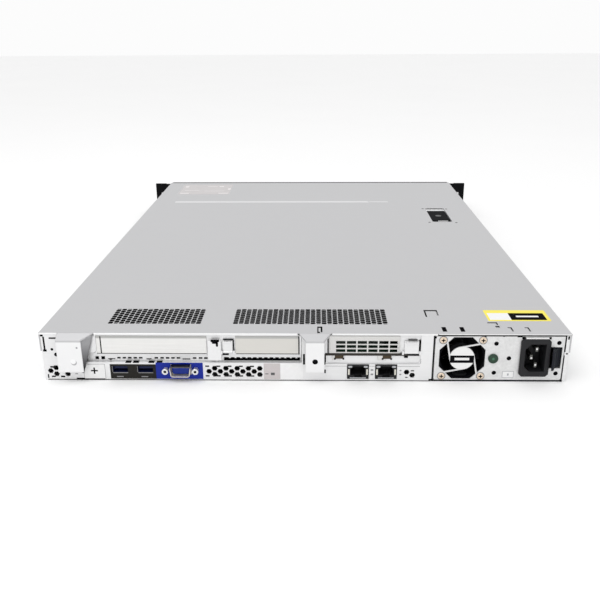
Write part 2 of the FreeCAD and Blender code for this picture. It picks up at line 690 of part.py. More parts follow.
# Riser cage: bent sheet over the left slots, with its middle web, rear flange and strap
slot_foot = at.cover_foot
cage_sheet = prism("cage_sheet", "XZ",
                   [(at.riser_start, slot_foot), (at.riser_start + at.riser_gauge, slot_foot),
                    (at.riser_start + at.riser_gauge, wall_top - at.riser_gauge),
                    (at.riser_end, wall_top - at.riser_gauge), (at.riser_end, wall_top),
                    (at.riser_start, wall_top)],
                   (rear, rear + at.riser_length))
soften(cage_sheet, 0.8 * at.riser_gauge,
       lambda middle, way: abs(way.y) > 0.9 and near(middle.x, at.riser_start) and middle.z > 40)
web_face = at.riser_board_place + at.board_gauge / 2
web = block("cage_web", (web_face, web_face + at.riser_gauge),
            (panel_in + at.cover_gauge, rear + at.riser_length), (at.sill, wall_top - at.riser_gauge))
flange_plane = (panel_in, panel_in + at.riser_gauge)
flange = block("cage_flange", (at.riser_start + at.riser_gauge, at.riser_end), flange_plane,
               (slot_foot, wall_top - at.riser_gauge))
strap_left = at.cover_split + 1
strap_top = at.slot_latch_top
strap = prism("cage_strap", "YZ",
              [(rear - at.strap_reach, at.strap_foot), (rear - at.strap_reach + at.riser_gauge, at.strap_foot),
               (rear - at.strap_reach + at.riser_gauge, strap_top - at.riser_gauge),
               (panel_in, strap_top - at.riser_gauge), (panel_in, strap_top),
               (rear - at.strap_reach, strap_top)],
              (strap_left, strap_left + at.strap_width))
cover_inset = 6 * at.riser_gauge
latch_left = at.riser_latch_start
latch_right = latch_left + at.riser_latch_width
cover_top = wall_top - at.riser_gauge
slot_windows = [
    block("slot_window", (at.riser_start + cover_inset, at.cover_split - cover_inset / 2),
          (panel_in - 1, panel_in + at.riser_gauge + 1), (slot_foot + 2, cover_top - 2)),
    block("slot_window", (latch_right + cover_inset / 2, at.riser_end - cover_inset / 2),
          (panel_in - 1, panel_in + at.riser_gauge + 1), (slot_foot + 2, cover_top - 2)),
]
latch_axis_y = rear - 0.2
latch_axis_z = at.slot_latch_foot + 1.2


def latch_lugs(name, left, right, back):
    """Two lugs with bores that hold a slot latch's trunnions."""
    lugs = []
    for start, end in ((left - 1.9, left - 0.4), (right + 0.4, right + 1.9)):
        lug = block(name + "_lug", (start, end), (latch_axis_y - 1.5, back),
                    (latch_axis_z - 1.5, latch_axis_z + 1.5))
        bore = rod(name + "_bore", "x", at.trunnion + at.trunnion_fit, (start - 1, end + 1), y=latch_axis_y,
                   z=latch_axis_z)
        lugs.append(cut(name + "_ear", lug, bore))
    return lugs


def slot_latch(name, left, right):
    """A flat latch on a barrel with two trunnions."""
    leaf = block(name + "_leaf", (left, right), (latch_axis_y - 0.6, latch_axis_y + at.slot_latch_gauge - 0.6),
                 (latch_axis_z, at.slot_latch_top))
    barrel = prism(name + "_barrel", "YZ", regular(latch_axis_y, latch_axis_z, length(1.1), 8), (left, right))
    stub = prism(name + "_stub", "YZ", regular(latch_axis_y, latch_axis_z, at.trunnion, 12),
                 (left - 1.4, right + 1.4))
    lip = block(name + "_lip", (left + 1, right - 1), (latch_axis_y - 2.6, latch_axis_y - 0.6),
                (at.slot_latch_top - 1.0, at.slot_latch_top))
    return fuse(name + "_body", leaf, barrel, stub, lip)


node("riser_cage", fuse("cage_body", cage_sheet, web, cut("cage_flange_open", flange, *slot_windows),
                        strap, *latch_lugs("riser", latch_left, latch_right, panel_in)))
node("riser_latch", slot_latch("riser_latch", latch_left, latch_right))
covers = [
    block("cover_left", (at.riser_start + at.riser_gauge + at.slip, at.cover_split), (rear, panel_in),
          (slot_foot, cover_top - at.slip)),
    block("cover_right", (latch_right + 2.4, at.riser_end), (rear, panel_in),
          (slot_foot, cover_top - at.slip)),
]
node("slot_covers", compound("slot_cover_pair", *covers))

board_face = web_face - at.board_gauge
riser_rear = rear + 32
riser_front = rear + at.riser_length
riser_socket_top = board_top + 11
riser_sheet = block("riser_sheet", (board_face, web_face), (riser_rear, riser_front),
                    (board_top + 3, wall_top - at.riser_gauge - 2))
card_slots = []
for start, end in ((board_face - 11, board_face), (web_face + at.riser_gauge, web_face + 12)):
    card_slots.append(block("card_slot", (start, end), (riser_rear + 12, riser_rear + 101),
                            (board_top + 18, board_top + 25.5)))
node("riser_board", fuse("riser_board_body", riser_sheet, *card_slots))
riser_socket = block("riser_socket_block", (board_face - 2.8, web_face + 2.8 + at.riser_gauge),
                     (riser_rear - 2, riser_rear + 92), (board_top, riser_socket_top))
riser_groove = block("riser_groove", (board_face - at.slip, web_face + at.riser_gauge + at.slip),
                     (riser_rear - 3, riser_rear + 93), (board_top + 3, riser_socket_top + 1))
riser_socket_open = cut("riser_socket_body", riser_socket, riser_groove)


# Low-profile slot: bracket behind the panel, grille cover in front of it, latch beside it
low_start = at.low_cover_start
low_end = at.low_cover_end
bracket = block("low_bracket_sheet", (at.window_right_start - 3, at.window_right_end + 3),
                (panel_in, panel_in + at.cover_gauge), (at.sill, wall_top))
bracket_window = block("low_bracket_window", (low_start + 3, low_end - 3),
                       (panel_in - 1, panel_in + at.cover_gauge + 1), (slot_foot + 1, cover_top - 3))
low_latch_left = at.low_latch_start
low_latch_right = low_latch_left + at.low_latch_width
panel_sheet = cut("rear_panel_cut", fuse("rear_panel_sheet", face, *shelves), *holes)
node("rear_panel", fuse("rear_panel_body", panel_sheet, cut("low_bracket_open", bracket, bracket_window),
                        *latch_lugs("low", low_latch_left, low_latch_right, panel_in)))
node("low_slot_latch", slot_latch("low_latch", low_latch_left, low_latch_right))
low_plate = block("low_cover_plate", (low_start, low_end - 1.0), (rear, panel_in), (slot_foot, cover_top))
hooks = []
for start in (low_start + 2.3, low_start + 39.8):
    hooks.append(block("low_hook", (start, start + at.low_tab_width), (rear, panel_in),
                       (at.strap_foot, slot_foot)))
cells = []
for column in range(6):
    for row in range(3):
        cell_x = at.low_cell_start + column * at.low_cell_pitch
        cell_z = at.low_cell_level + row * at.low_cell_rise
        cells.append(block("low_cell", (cell_x, cell_x + at.low_cell_width), through,
                           (cell_z, cell_z + at.low_cell_height)))
node("low_slot_cover", cut("low_cover_open", fuse("low_cover_sheet", low_plate, *hooks), *cells))


# Processors under finned coolers, and the chipset's own smaller one
def cooler(name, left, back, foot, width, long, height, base, count):
    """A finned block: a base plate and one fin repeated across it."""
    body = prism(name, "XZ", [(left, foot), (left + width, foot), (left + width, foot + base),
                              (left, foot + base)], (back, back + long))
    fin = drawing(body, name + "_fin_outline", "XZ", back,
                  [(left, foot + base), (left + at.cooler_fin_gauge, foot + base),
                   (left + at.cooler_fin_gauge, foot + height), (left, foot + height)])
    pad = body.newObject("PartDesign::Pad", name + "_fin")
    pad.Profile = fin
    bind(pad, "Length", long)
    pad.Reversed = True
    body.Tip = pad
    doc.recompute()
    row = body.newObject("PartDesign::LinearPattern", name + "_fins")
    row.Originals = [pad]
    row.Direction = (fin, ["H_Axis"])
    bind(row, "Length", width - at.cooler_fin_gauge)
    bind(row, "Occurrences", count)
    body.Tip = row
    return body


package = 5.0
processors = []
cooler_bodies = []
cooler_back = rear + at.cooler_setback
for name, left in (("cooler_left_body", at.cooler_left), ("cooler_right_body", at.cooler_right)):
    cooler_bodies.append(cooler(name, left, cooler_back, board_top + package, at.cooler_width,
                                at.cooler_length, at.cooler_height, at.cooler_base, at.cooler_fins))
    centre_x = left + at.cooler_width / 2
    centre_y = cooler_back + at.cooler_length / 2
    processors.append(block("processor", span_about(centre_x, 46), span_about(centre_y, 52),
                            (board_top, board_top + package)))
node("processors", compound("processor_pair", *processors))
cooler_bodies.append(cooler("cooler_chipset_body", length(30.0), rear + 70, board_top, at.cooler_width * 0.55,
                            at.cooler_length * 0.45, at.cooler_height * 0.6, at.cooler_base * 0.75, 7))
node("coolers", compound("cooler_set", *cooler_bodies))


# Memory: sockets on the board, two modules beside each processor
socket_shapes = []
module_shapes = []
memory_back = rear + at.memory_setback
groove_foot = board_top + at.socket_tall - 4
for group, start, count in (("middle", at.cooler_left + at.cooler_width + 6, 7),
                            ("right", at.cooler_right + at.cooler_width + 6, 7)):
    for index in range(count):
        centre = start + 6 + index * at.memory_pitch
        socket = block("memory_socket", span_about(centre, at.socket_wide),
                       (memory_back - 4, memory_back + at.memory_length + 4),
                       (board_top, board_top + at.socket_tall))
        groove = block("memory_groove", span_about(centre, 1.5),
                       (memory_back - 0.2, memory_back + at.memory_length + 0.2),
                       (groove_foot, board_top + at.socket_tall + 1))
        socket_shapes.append(cut("memory_socket_open", socket, groove))
        if index in (2, 5):
            module_shapes.append(block("memory_module", span_about(centre, 1.4),
                                       (memory_back, memory_back + at.memory_length),
                                       (groove_foot, groove_foot + at.memory_height)))
node("board_sockets", compound("board_socket_set", riser_socket_open, *socket_shapes))
node("memory_modules", compound("memory_module_set", *module_shapes))


# Fans: a frame with a round duct, a motor seat on struts, and a rotor with pitched blades
def fan_frame(name, x, z, back, size, bore, sides):
    """The seat is at the frame's inner end, so that the rotor faces the rear."""
    body = block(name + "_block", span_about(x, size), (back, back + at.fan_depth), span_about(z, size))
    duct = prism(name + "_duct", "XZ", regular_about(x, z, bore, sides), (back - 1, back + at.fan_depth + 1))
    seat_span = (back + at.fan_depth - at.fan_seat, back + at.fan_depth)
    seat = prism(name + "_seat", "XZ", regular(x, z, at.fan_hub, sides), seat_span)
    across = block(name + "_strut", span_about(x, 2 * bore + 0.6), seat_span, span_about(z, at.fan_strut))
    upright = block(name + "_strut", span_about(x, at.fan_strut), seat_span, span_about(z, 2 * bore + 0.6))
    bearing = rod(name + "_bearing", "y", at.shaft_radius + at.shaft_fit, (back, back + at.fan_depth + 1),
                  x=x, z=z)
    return cut(name, fuse(name + "_spider", cut(name + "_open", body, duct), seat, across, upright), bearing)


def rotor(name, x, z, back, tip):
    """A hub on its shaft, with one pitched blade repeated round it."""
    body = doc.addObject("PartDesign::Body", name)
    hub_end = at.fan_depth - at.fan_seat - at.fan_run
    hub_start = hub_end - at.fan_hub_length
    hub = body.newObject("PartDesign::Pad", name + "_hub")
    hub.Profile = drawing(body, name + "_hub_outline", "XZ", hub_start,
                          regular(length(0), length(0), at.fan_hub, 2 * int(at.fan_blades.number)))
    bind(hub, "Length", hub_end - hub_start)
    hub.Reversed = True
    lean = at.fan_hub * 0.42
    reach = (length(tip) * tip - lean * lean).root()
    gauge = at.fan_blade_gauge
    root = at.fan_hub * 0.9
    blade = body.newObject("PartDesign::Pad", name + "_blade")
    blade.Profile = drawing(body, name + "_blade_outline", "YZ", root,
                            [(hub_start + 1, -lean), (hub_start + 1 + gauge, -lean), (hub_end - 1, lean),
                             (hub_end - 1 - gauge, lean)])
    bind(blade, "Length", reach - root)
    body.Tip = blade
    doc.recompute()
    ring = body.newObject("PartDesign::PolarPattern", name + "_blades")
    ring.Originals = [blade]
    ring.Axis = ([item for item in body.Origin.OriginFeatures if item.Role == "Y_Axis"][0], [""])
    ring.Angle = 360
    bind(ring, "Occurrences", at.fan_blades)
    body.Tip = ring
    place(body, x, back, z)
    shaft = prism(name + "_shaft", "XZ", regular(x, z, at.shaft_radius, 12),
                  (back + hub_end, back + at.fan_depth - 0.2))
    return fuse(name + "_on_shaft", body, shaft)


fan_back = rear + at.fan_row_setback
fan_level = floor + at.fan_size / 2
frames = []
for index in range(5):
    fan_x = at.fan_row_start + index * at.fan_row_pitch
    frames.append(fan_frame(f"fan_frame_{index + 1}", fan_x, fan_level, fan_back, at.fan_size, at.fan_bore, 12))
    node(f"fan_rotor_{index + 1}", rotor(f"rotor_{index + 1}", fan_x, fan_level, fan_back, at.fan_tip))
node("fan_frames", compound("fan_frame_set", *frames))
wall_back = fan_back + at.fan_depth
fan_wall = block("fan_wall_sheet", (-wall_in, wall_in), (wall_back, wall_back + 1.2),
                 (floor, wall_top - at.lid_gap))
fan_windows = []
for index in range(5):
    fan_x = at.fan_row_start + index * at.fan_row_pitch
    fan_windows.append(prism("fan_window", "XZ", octagon(fan_x, fan_level, 2 * at.fan_bore, at.guard_flat),
                             (wall_back - 1, wall_back + 3)))
dish_foot = hood_under - at.dish_depth
fan_windows.append(block("dish_relief", (at.recess_start - at.dish_rim - 1,
                                         at.recess_start + at.recess_width + at.dish_rim + 1),
                         (wall_back - 1, wall_back + 3), (dish_foot - 1, hood_top)))
node("fan_wall", cut("fan_wall_open", fan_wall, *fan_windows))
baffle_left = at.cooler_left + at.cooler_width + 3
baffle_right = at.cooler_right - 3
baffle_top = wall_top - at.lid_gap
node("air_baffle", prism("air_baffle_sheet", "XZ",
                         [(baffle_left, board_top), (baffle_left + 1.2, board_top),
                          (baffle_left + 1.2, baffle_top - 1.2), (baffle_right - 1.2, baffle_top - 1.2),
                          (baffle_right - 1.2, board_top), (baffle_right, board_top),
                          (baffle_right, baffle_top), (baffle_left, baffle_top)],
                         (memory_back - 6, memory_back + at.memory_length + 6)))


# Power supply: a drawer with its own fan, mains inlet, lamp and release lever
psu_left = at.psu_start
psu_right = psu_left + at.psu_width
psu_foot = at.psu_level
psu_top = psu_foot + at.psu_height
psu_front = rear + at.psu_length
gauge = at.psu_gauge
guard_x = psu_left + at.guard_place
guard_z = psu_foot + at.psu_height / 2
inlet_x = psu_left + at.inlet_place
inlet_z = psu_foot + at.inlet_level
psu_through = (rear - 1, rear + gauge + 1)


def chamfered(x, z, width, height, corner, left_only):
    """A rectangle with cut corners, on the left side alone where the earth contact is."""
    half = width / 2
    high = height / 2
    right = [(x + half, z - high), (x + half, z + high)] if left_only else [
        (x + half - corner, z - high), (x + half, z - high + corner),
        (x + half, z + high - corner), (x + half - corner, z + high)]
    return right + [(x - half + corner, z + high), (x - half, z + high - corner),
                    (x - half, z - high + corner), (x - half + corner, z - high)]


case_outer = prism("psu_case_block", "XZ",
                   [(psu_left, psu_foot), (psu_right, psu_foot), (psu_right, psu_top), (psu_left, psu_top)],
                   (rear, psu_front))
soften(case_outer, at.bend_radius, lambda middle, way: abs(way.y) > 0.9 and middle.z < 10)
case_cavity = block("psu_cavity", (psu_left + gauge, psu_right - gauge), (rear + gauge, psu_front - gauge),
                    (psu_foot + gauge, psu_top - gauge))
exit_window = block("psu_exit", (psu_left + 6, psu_right - 3), (psu_front - 2, psu_front + 1),
                    (psu_foot + 3.2, psu_top - 6))
body_half_width = at.socket_width / 2 + 1.4
body_half_height = at.socket_height / 2 + 1.4
case_cuts = [
    case_cavity, exit_window,
    prism("guard_cut", "XZ", octagon(guard_x, guard_z, at.guard_width, at.guard_flat), psu_through),
    block("inlet_cut", (inlet_x - body_half_width, inlet_x + body_half_width), psu_through,
          (inlet_z - body_half_height, inlet_z + body_half_height)),
    prism("lamp_cut", "XZ", regular(psu_left + at.lamp_place, psu_foot + at.lamp_level, at.lamp_radius, 16),
          psu_through),
    block("release_cut", (psu_left + at.psu_latch_place - 0.8,
                          psu_left + at.psu_latch_place + at.psu_latch_width + 2.2), psu_through,
          (psu_foot + at.psu_latch_level - 0.8,
           psu_foot + at.psu_latch_level + at.psu_latch_height + 0.8)),
]
lamp_x = psu_left + at.lamp_place
hole_columns = (lamp_x + 1.7, psu_right - 4.6)
for hole_x, hole_z in ((hole_columns[0], psu_top - 6.4), (hole_columns[0], psu_foot + 6.4),
                       (lamp_x + 12.9, psu_foot + at.psu_height / 2),
                       (hole_columns[1], psu_top - 5.6), (hole_columns[1], psu_foot + 6.0)):
    case_cuts.append(prism("case_hole", "XZ", regular(hole_x, hole_z, at.case_hole, 12), psu_through))
guard = [rod("guard_disc", "y", at.guard_hub, (rear, rear + gauge), x=guard_x, z=guard_z)]
slant_distance = (at.guard_width.number + at.guard_flat.number) / (2 * math.sqrt(2))
tangent_angle = math.pi / 4 - math.asin(at.guard_hub.number / slant_distance)
strut_reach = math.sqrt(slant_distance ** 2 - at.guard_hub.number ** 2) + at.guard_strut.number
for quarter in range(4):
    angle = tangent_angle + quarter * math.pi / 2
    along = (math.cos(angle), math.sin(angle))
    side = (-along[1], along[0])
    inner = at.guard_hub - at.guard_strut

    def guard_point(out, off):
        return (guard_x + out * along[0] + off * side[0], guard_z + out * along[1] + off * side[1])
    guard.append(prism("guard_strut", "XZ",
                       [guard_point(-at.guard_strut, inner), guard_point(strut_reach, inner),
                        guard_point(strut_reach, inner + at.guard_strut),
                        guard_point(-at.guard_strut, inner + at.guard_strut)],
                       (rear, rear + gauge)))
release_axis_x = psu_left + at.psu_latch_place + at.psu_latch_width + 0.4
release_axis_y = rear + gauge + 2.6
release_span = (psu_foot + at.psu_latch_level, psu_foot + at.psu_latch_level + at.psu_latch_height)
release_pin = rod("release_pin", "z", length(1.2), (psu_foot + gauge, psu_top - gauge),
                  x=release_axis_x, y=release_axis_y)
node("psu_case", fuse("psu_case_body", cut("psu_case_open", case_outer, *case_cuts), *guard, release_pin))
lever_outline = prism("release_sheet", "XY",
                      [(release_axis_x - 5.0, release_axis_y - 1.2),
                       (release_axis_x - 7.6, rear - at.psu_latch_reach),
                       (release_axis_x - 5.8, rear - at.psu_latch_reach), (release_axis_x - 2.4, rear),
                       (release_axis_x, release_axis_y - 2.2), (release_axis_x, release_axis_y + 2.2),
                       (release_axis_x - 1.6, release_axis_y + 2.2)],
                      release_span)
lever_barrel = prism("release_barrel", "XY", regular(release_axis_x, release_axis_y, length(2.2), 12),
                     release_span)
lever_bore = prism("release_bore", "XY", regular_about(release_axis_x, release_axis_y, length(1.25), 12),
                   (release_span[0] - 1, release_span[1] + 1))
node("psu_release", cut("release_body", fuse("release_solid", lever_outline, lever_barrel), lever_bore))
psu_fan_size = at.psu_height - 2 * gauge - 2 * at.slip
psu_fan_back = rear + gauge
psu_fan_bore = psu_fan_size / 2 - 1
node("psu_fan_frame", fan_frame("psu_fan", guard_x, guard_z, psu_fan_back, psu_fan_size, psu_fan_bore, 16))
node("psu_fan_rotor", rotor("psu_rotor", guard_x, guard_z, psu_fan_back, psu_fan_bore - 0.7))
node("psu_lamp", prism("psu_lamp_cap", "XZ", regular(lamp_x, psu_foot + at.lamp_level, at.lamp_radius, 16),
                       (rear - 1.2, rear + 4)))
inlet_flange = prism("inlet_flange", "XZ",
                     chamfered(inlet_x, inlet_z, at.inlet_width, at.inlet_height, at.inlet_corner, False),
                     (rear - at.inlet_reach, rear))
inlet_back = block("inlet_back", (inlet_x - body_half_width + 0.2, inlet_x + body_half_width - 0.2),
                   (rear, rear + at.socket_deep + 1.6),
                   (inlet_z - body_half_height + 0.2, inlet_z + body_half_height - 0.2))
inlet_cavity = prism("inlet_cavity", "XZ",
                     chamfered(inlet_x, inlet_z, at.socket_width, at.socket_height, at.socket_corner, True),
                     (rear - at.inlet_reach - 1, rear - at.inlet_reach + at.socket_deep))
node("mains_inlet", cut("inlet_body", fuse("inlet_solid", inlet_flange, inlet_back), inlet_cavity))
contact_end = rear - at.inlet_reach + at.socket_deep
contacts = []
for off_x, off_z in ((0, at.blade_pitch / 2), (0, -at.blade_pitch / 2), (-at.blade_offset, length(0))):
    contacts.append(block("contact", span_about(inlet_x + 1.4 + off_x, at.blade_thick),
                          (contact_end - at.blade_length, contact_end),
                          span_about(inlet_z + off_z, at.blade_wide)))
node("inlet_contacts", compound("contact_set", *contacts))
fingers_left = supply_board_start + 4
fingers_right = psu_right - 10
psu_board_foot = psu_foot + 4.0
supply_sheet = prism("psu_board_sheet", "XY",
                     [(psu_left + 3, psu_fan_back + at.fan_depth + 4),
                      (psu_right - 3, psu_fan_back + at.fan_depth + 4),
                      (psu_right - 3, psu_front - 3), (fingers_right, psu_front - 3),
                      (fingers_right, psu_front + 10), (fingers_left, psu_front + 10),
                      (fingers_left, psu_front - 3), (psu_left + 3, psu_front - 3)],
                     (psu_board_foot, psu_board_foot + at.board_gauge))
parts_foot = psu_board_foot + at.board_gauge
parts = [
    block("transformer", (psu_left + 20, psu_left + 52), (rear + 120, rear + 156), (parts_foot, parts_foot + 27)),
    block("choke", (psu_left + 62, psu_left + 84), (rear + 130, rear + 156), (parts_foot, parts_foot + 20)),
    block("heat_bar", (psu_left + 92, psu_left + 97), (rear + 60, rear + 190), (parts_foot, parts_foot + 24)),
    prism("capacitor", "XZ", regular(psu_left + 30, parts_foot + 12.0, length(13), 8), (rear + 54, rear + 104)),
    prism("capacitor", "XZ", regular(psu_left + 62, parts_foot + 12.0, length(13), 8), (rear + 54, rear + 104)),
]
board_feet = []
for foot_x in (psu_left + 10, psu_right - 10):
    for foot_y in (rear + 44, psu_front - 14):
        board_feet.append(prism("psu_board_foot", "XY", regular(foot_x, foot_y, at.post_radius, 6),
                                (psu_foot + gauge, psu_board_foot)))
node("psu_board", fuse("psu_board_body", supply_sheet, *parts, *board_feet))
supply_board = block("supply_board_sheet", (supply_board_start, psu_right),
                     (supply_board_rear, supply_board_rear + 100), (at.main_board_level, board_top))
socket_block = block("supply_socket", (fingers_left - 4, fingers_right + 4), (psu_front + 1, psu_front + 14),
                     (board_top, board_top + 9))
socket_slot = block("supply_slot", (fingers_left - 0.5, fingers_right + 0.5), (psu_front, psu_front + 11.5),
                    (psu_board_foot - 0.4, psu_board_foot + at.board_gauge + 0.4))
node("supply_board", fuse("supply_board_body", supply_board,
                          cut("supply_socket_open", socket_block, socket_slot)))


# Drive bays: a cage with four openings, a backplane behind it, and four carriers that slide in
bay_width = at.drive_width + 2 * at.rail_gauge + 2 * at.bay_clear
bay_pitch = bay_width + at.bay_wall
cage_half = 2 * bay_pitch + at.bay_wall / 2
cage_end = front - at.cage_front
cage_back = cage_end - at.cage_depth
bay_top = floor + at.bay_height
cage_outline = [(-cage_half, floor)]
for index in range(4):
    bay_left = -cage_half + at.bay_wall + index * bay_pitch
    cage_outline += [(bay_left, floor), (bay_left, bay_top), (bay_left + bay_width, bay_top),
                     (bay_left + bay_width, floor)]
cage_outline += [(cage_half, floor), (cage_half, bay_top + at.bay_wall), (-cage_half, bay_top + at.bay_wall)]
node("drive_cage", prism("drive_cage_sheet", "XZ", cage_outline, (cage_back, cage_end)))
backplane_front = cage_back - 3
sheet_half = cage_half - 4
backplane = block("backplane_sheet", (-sheet_half, sheet_half),
                  (backplane_front - at.board_gauge, backplane_front), (floor, bay_top + at.bay_wall))
backplane_parts = [backplane]
carrier_length = at.drive_length + 4
bezel_back = front - at.bar_thick - at.bezel_thick
drive_front = bezel_back - 2
drive_back = drive_front - at.drive_length
drive_foot = floor + at.drive_level
for index in range(4):
    centre = -cage_half + at.bay_wall + index * bay_pitch + bay_width / 2
    backplane_parts.append(block("drive_socket", span_about(centre + 12, 42),
                                 (backplane_front, drive_back - 0.4), (drive_foot + 1, drive_foot + 8)))
    number = index + 1
    bezel = block("bezel_block", span_about(centre, bay_width - 2 * at.bay_clear),
                  (bezel_back, bezel_back + at.bezel_thick), (floor + 0.5, bay_top - 0.5))
    bezel_cells = []
    cell_pitch = (bay_width - 14) / at.bezel_cells
    for cell in range(int(at.bezel_cells.number)):
        cell_left = centre - bay_width / 2 + 8.5 + cell * cell_pitch
        for cell_foot, cell_top in ((floor + 2.0, at.bar_level - 1.0),
                                    (at.bar_level + at.bar_height + 1.0, bay_top - 2.0)):
            bezel_cells.append(block("bezel_cell", (cell_left, cell_left + cell_pitch * 0.62),
                                     (bezel_back - 1, bezel_back + at.bezel_thick + 1), (cell_foot, cell_top)))
    rails = []
    rail_out = bay_width / 2 - at.bay_clear
    for inner, outer in ((-rail_out, -rail_out + at.rail_gauge), (rail_out - at.rail_gauge, rail_out)):
        rails.append(block("carrier_rail", (centre + inner, centre + outer),
                           (bezel_back - carrier_length, bezel_back), (floor + 0.5, floor + 16)))
    for bar_y in (bezel_back - 40, bezel_back - carrier_length + 20):
        rails.append(block("carrier_bar", (centre - rail_out, centre + rail_out), (bar_y, bar_y + 12),
                           (floor + 0.5, drive_foot)))
    hinge_x = centre + bay_width / 2 - 7
    lever_back = bezel_back + at.bezel_thick
    pin_y = lever_back + at.bar_thick / 2
    pin_span = (at.bar_level - 1.6, at.bar_level + at.bar_height + 1.6)
    lever_pin = rod("carrier_pin", "z", at.bar_pin_radius, pin_span, x=hinge_x, y=pin_y)
    knuckles = []
    for start, end in ((pin_span[0], at.bar_level - 0.3), (at.bar_level + at.bar_height + 0.3, pin_span[1])):
        knuckles.append(block("carrier_knuckle", span_about(hinge_x, 5.2), (lever_back, pin_y + 1.8),
                              (start, end)))
    node(f"carrier_{number}", fuse("carrier_body", cut("bezel_open", bezel, *bezel_cells), *rails, *knuckles,
                                   lever_pin))
    half = at.drive_width / 2
    bevel = at.drive_corner
    node(f"drive_{number}", prism("drive_block", "XY",
                                  [(centre - half + bevel, drive_back), (centre + half - bevel, drive_back),
                                   (centre + half, drive_back + bevel), (centre + half, drive_front - bevel),
                                   (centre + half - bevel, drive_front), (centre - half + bevel, drive_front),
                                   (centre - half, drive_front - bevel), (centre - half, drive_back + bevel)],
                                  (drive_foot, drive_foot + at.drive_height)))
    lever_left = hinge_x - at.bar_length
    lever_span = (at.bar_level, at.bar_level + at.bar_height)
    lever_bar = prism("carrier_lever_bar", "XY",
                      [(lever_left, lever_back + 0.2), (hinge_x, lever_back + 0.2), (hinge_x, front),
                       (lever_left + 3, front), (lever_left, front - 1.4)],
                      lever_span)
    barrel = prism("carrier_barrel", "XY", regular(hinge_x, pin_y, at.bar_thick / 2 - 0.1, 12), lever_span)
    bore = prism("carrier_lever_bore", "XY", regular_about(hinge_x, pin_y, at.bar_pin_radius + 0.05, 12),
                 (lever_span[0] - 1, lever_span[1] + 1))
    node(f"carrier_lever_{number}", cut("carrier_lever_body", fuse("carrier_lever_solid", lever_bar, barrel),
                                        bore))
node("drive_backplane", fuse("backplane_body", *backplane_parts))


# Front panel strip over the bays, with its two buttons
lip_back = front - at.hood_front_gap + 0.5
strip_foot = bay_top + at.bay_wall
strip = prism("control_strip", "YZ",
              [(lip_back - 16, strip_foot), (front - at.bar_thick, strip_foot), (front - at.bar_thick, hood_top),
               (lip_back, hood_top), (lip_back, wall_top), (lip_back - 16, wall_top)],
              (-wall_in, wall_in))
button_cuts = []
for name, index in (("power_button", 0), ("locator_button", 1)):
    button_x = at.button_place + index * at.button_pitch
    face_y = front - at.bar_thick
    button_cuts.append(prism("button_well", "XZ",
                             regular(button_x, at.button_level, at.button_radius + at.button_fit, 16),
                             (face_y - at.button_depth - at.button_travel - 0.3, face_y + 1)))
    node(name, prism(name + "_cap", "XZ", regular(button_x, at.button_level, at.button_radius, 16),
                     (face_y - at.button_depth, face_y + 0.6)))
for start in (-at.button_place, -at.button_place + 20):
    button_cuts.append(block("front_usb", (start, start + at.usb_width - 2), (front - at.bar_thick - 10, front),
                             span_about(at.button_level, at.usb_height)))
node("control_panel", cut("control_panel_body", strip, *button_cuts))


# Rack ears: an angle on each wall, with two slots for the rack's screws
ear_front = front - at.ear_setback + at.ear_thick
ear_outer = at.ear_span / 2
for side in (-1, 1):
    ear = prism("ear_angle", "XY",
                [(side * wall_out, ear_front - 34), (side * (wall_out + 1.2), ear_front - 34),
                 (side * (wall_out + 1.2), ear_front - at.ear_thick), (side * ear_outer, ear_front - at.ear_thick),
                 (side * ear_outer, ear_front), (side * wall_out, ear_front)],
                (length(0.3), at.ear_height + 0.3))
    relief = block("ear_relief", (side * wall_out - 3, side * wall_out + 3),
                   (ear_front - 36, ear_front - at.ear_thick - 0.5),
                   (hood_under - at.flange_drop - 0.4, hood_top))
    slots = []
    for up in (-0.5, 0.5):
        slot_z = at.body_height / 2 + up * at.ear_slot_pitch
        slot_x = side * at.ear_slot_span / 2
        reach = at.ear_slot_length / 2 - at.ear_slot_radius
        slots.append(block("ear_slot", span_about(slot_x, 2 * reach), (ear_front - 4, ear_front + 1),
                           span_about(slot_z, 2 * at.ear_slot_radius)))
        for end in (-1, 1):
            slots.append(rod("ear_slot_end", "y", at.ear_slot_radius, (ear_front - 4, ear_front + 1),
                             x=slot_x + end * reach, z=slot_z))
    name = "rack_ear_left" if side < 0 else "rack_ear_right"
    node(name, cut(name + "_body", ear, relief, *slots))


# Rail studs along both walls
studs = []
stud_start = rear + at.stud_setback_rear
stud_end = front - at.stud_setback_front
for side in (-1, 1):
    for share in (0.0, 0.5, 1.0):
        stud_y = stud_start + (stud_end - stud_start) * share
        spans = [(wall_out, wall_out + at.stud_shank),
                 (wall_out + at.stud_shank, wall_out + at.stud_shank + at.stud_head)]
        if side < 0:
            spans = [(-end, -start) for start, end in spans]
        shank = prism("stud_shank", "YZ", regular(stud_y, at.stud_level, at.stud_radius, 8), spans[0])
        head = prism("stud_head", "YZ", regular(stud_y, at.stud_level, at.stud_head_radius, 12), spans[1])
        studs.append(fuse("stud", shank, head))
node("rail_studs", compound("rail_stud_set", *studs))


# Hood: perforated top sheet, side flanges, two rear tabs, lanced slots and a stiffening bead
hood_front = front - at.hood_front_gap


def perforated(name, x, y, z, holes):
    """A flat sheet with all its small holes, made as one face and given its thickness."""
    corners = [(x[0], y[0]), (x[1], y[0]), (x[1], y[1]), (x[0], y[1])]

    def loop(points):
        ring = [FreeCAD.Vector(length(a).number, length(b).number, length(z[0]).number) for a, b in points]
        return Part.makePolygon(ring + ring[:1])
    face = Part.makeFace([loop(corners)] + [loop(points) for points in holes], "Part::FaceMakerBullseye")
    thing = doc.addObject("Part::Feature", name)
    thing.Shape = face.extrude(FreeCAD.Vector(0, 0, length(z[1]).number - length(z[0]).number))
    return thing


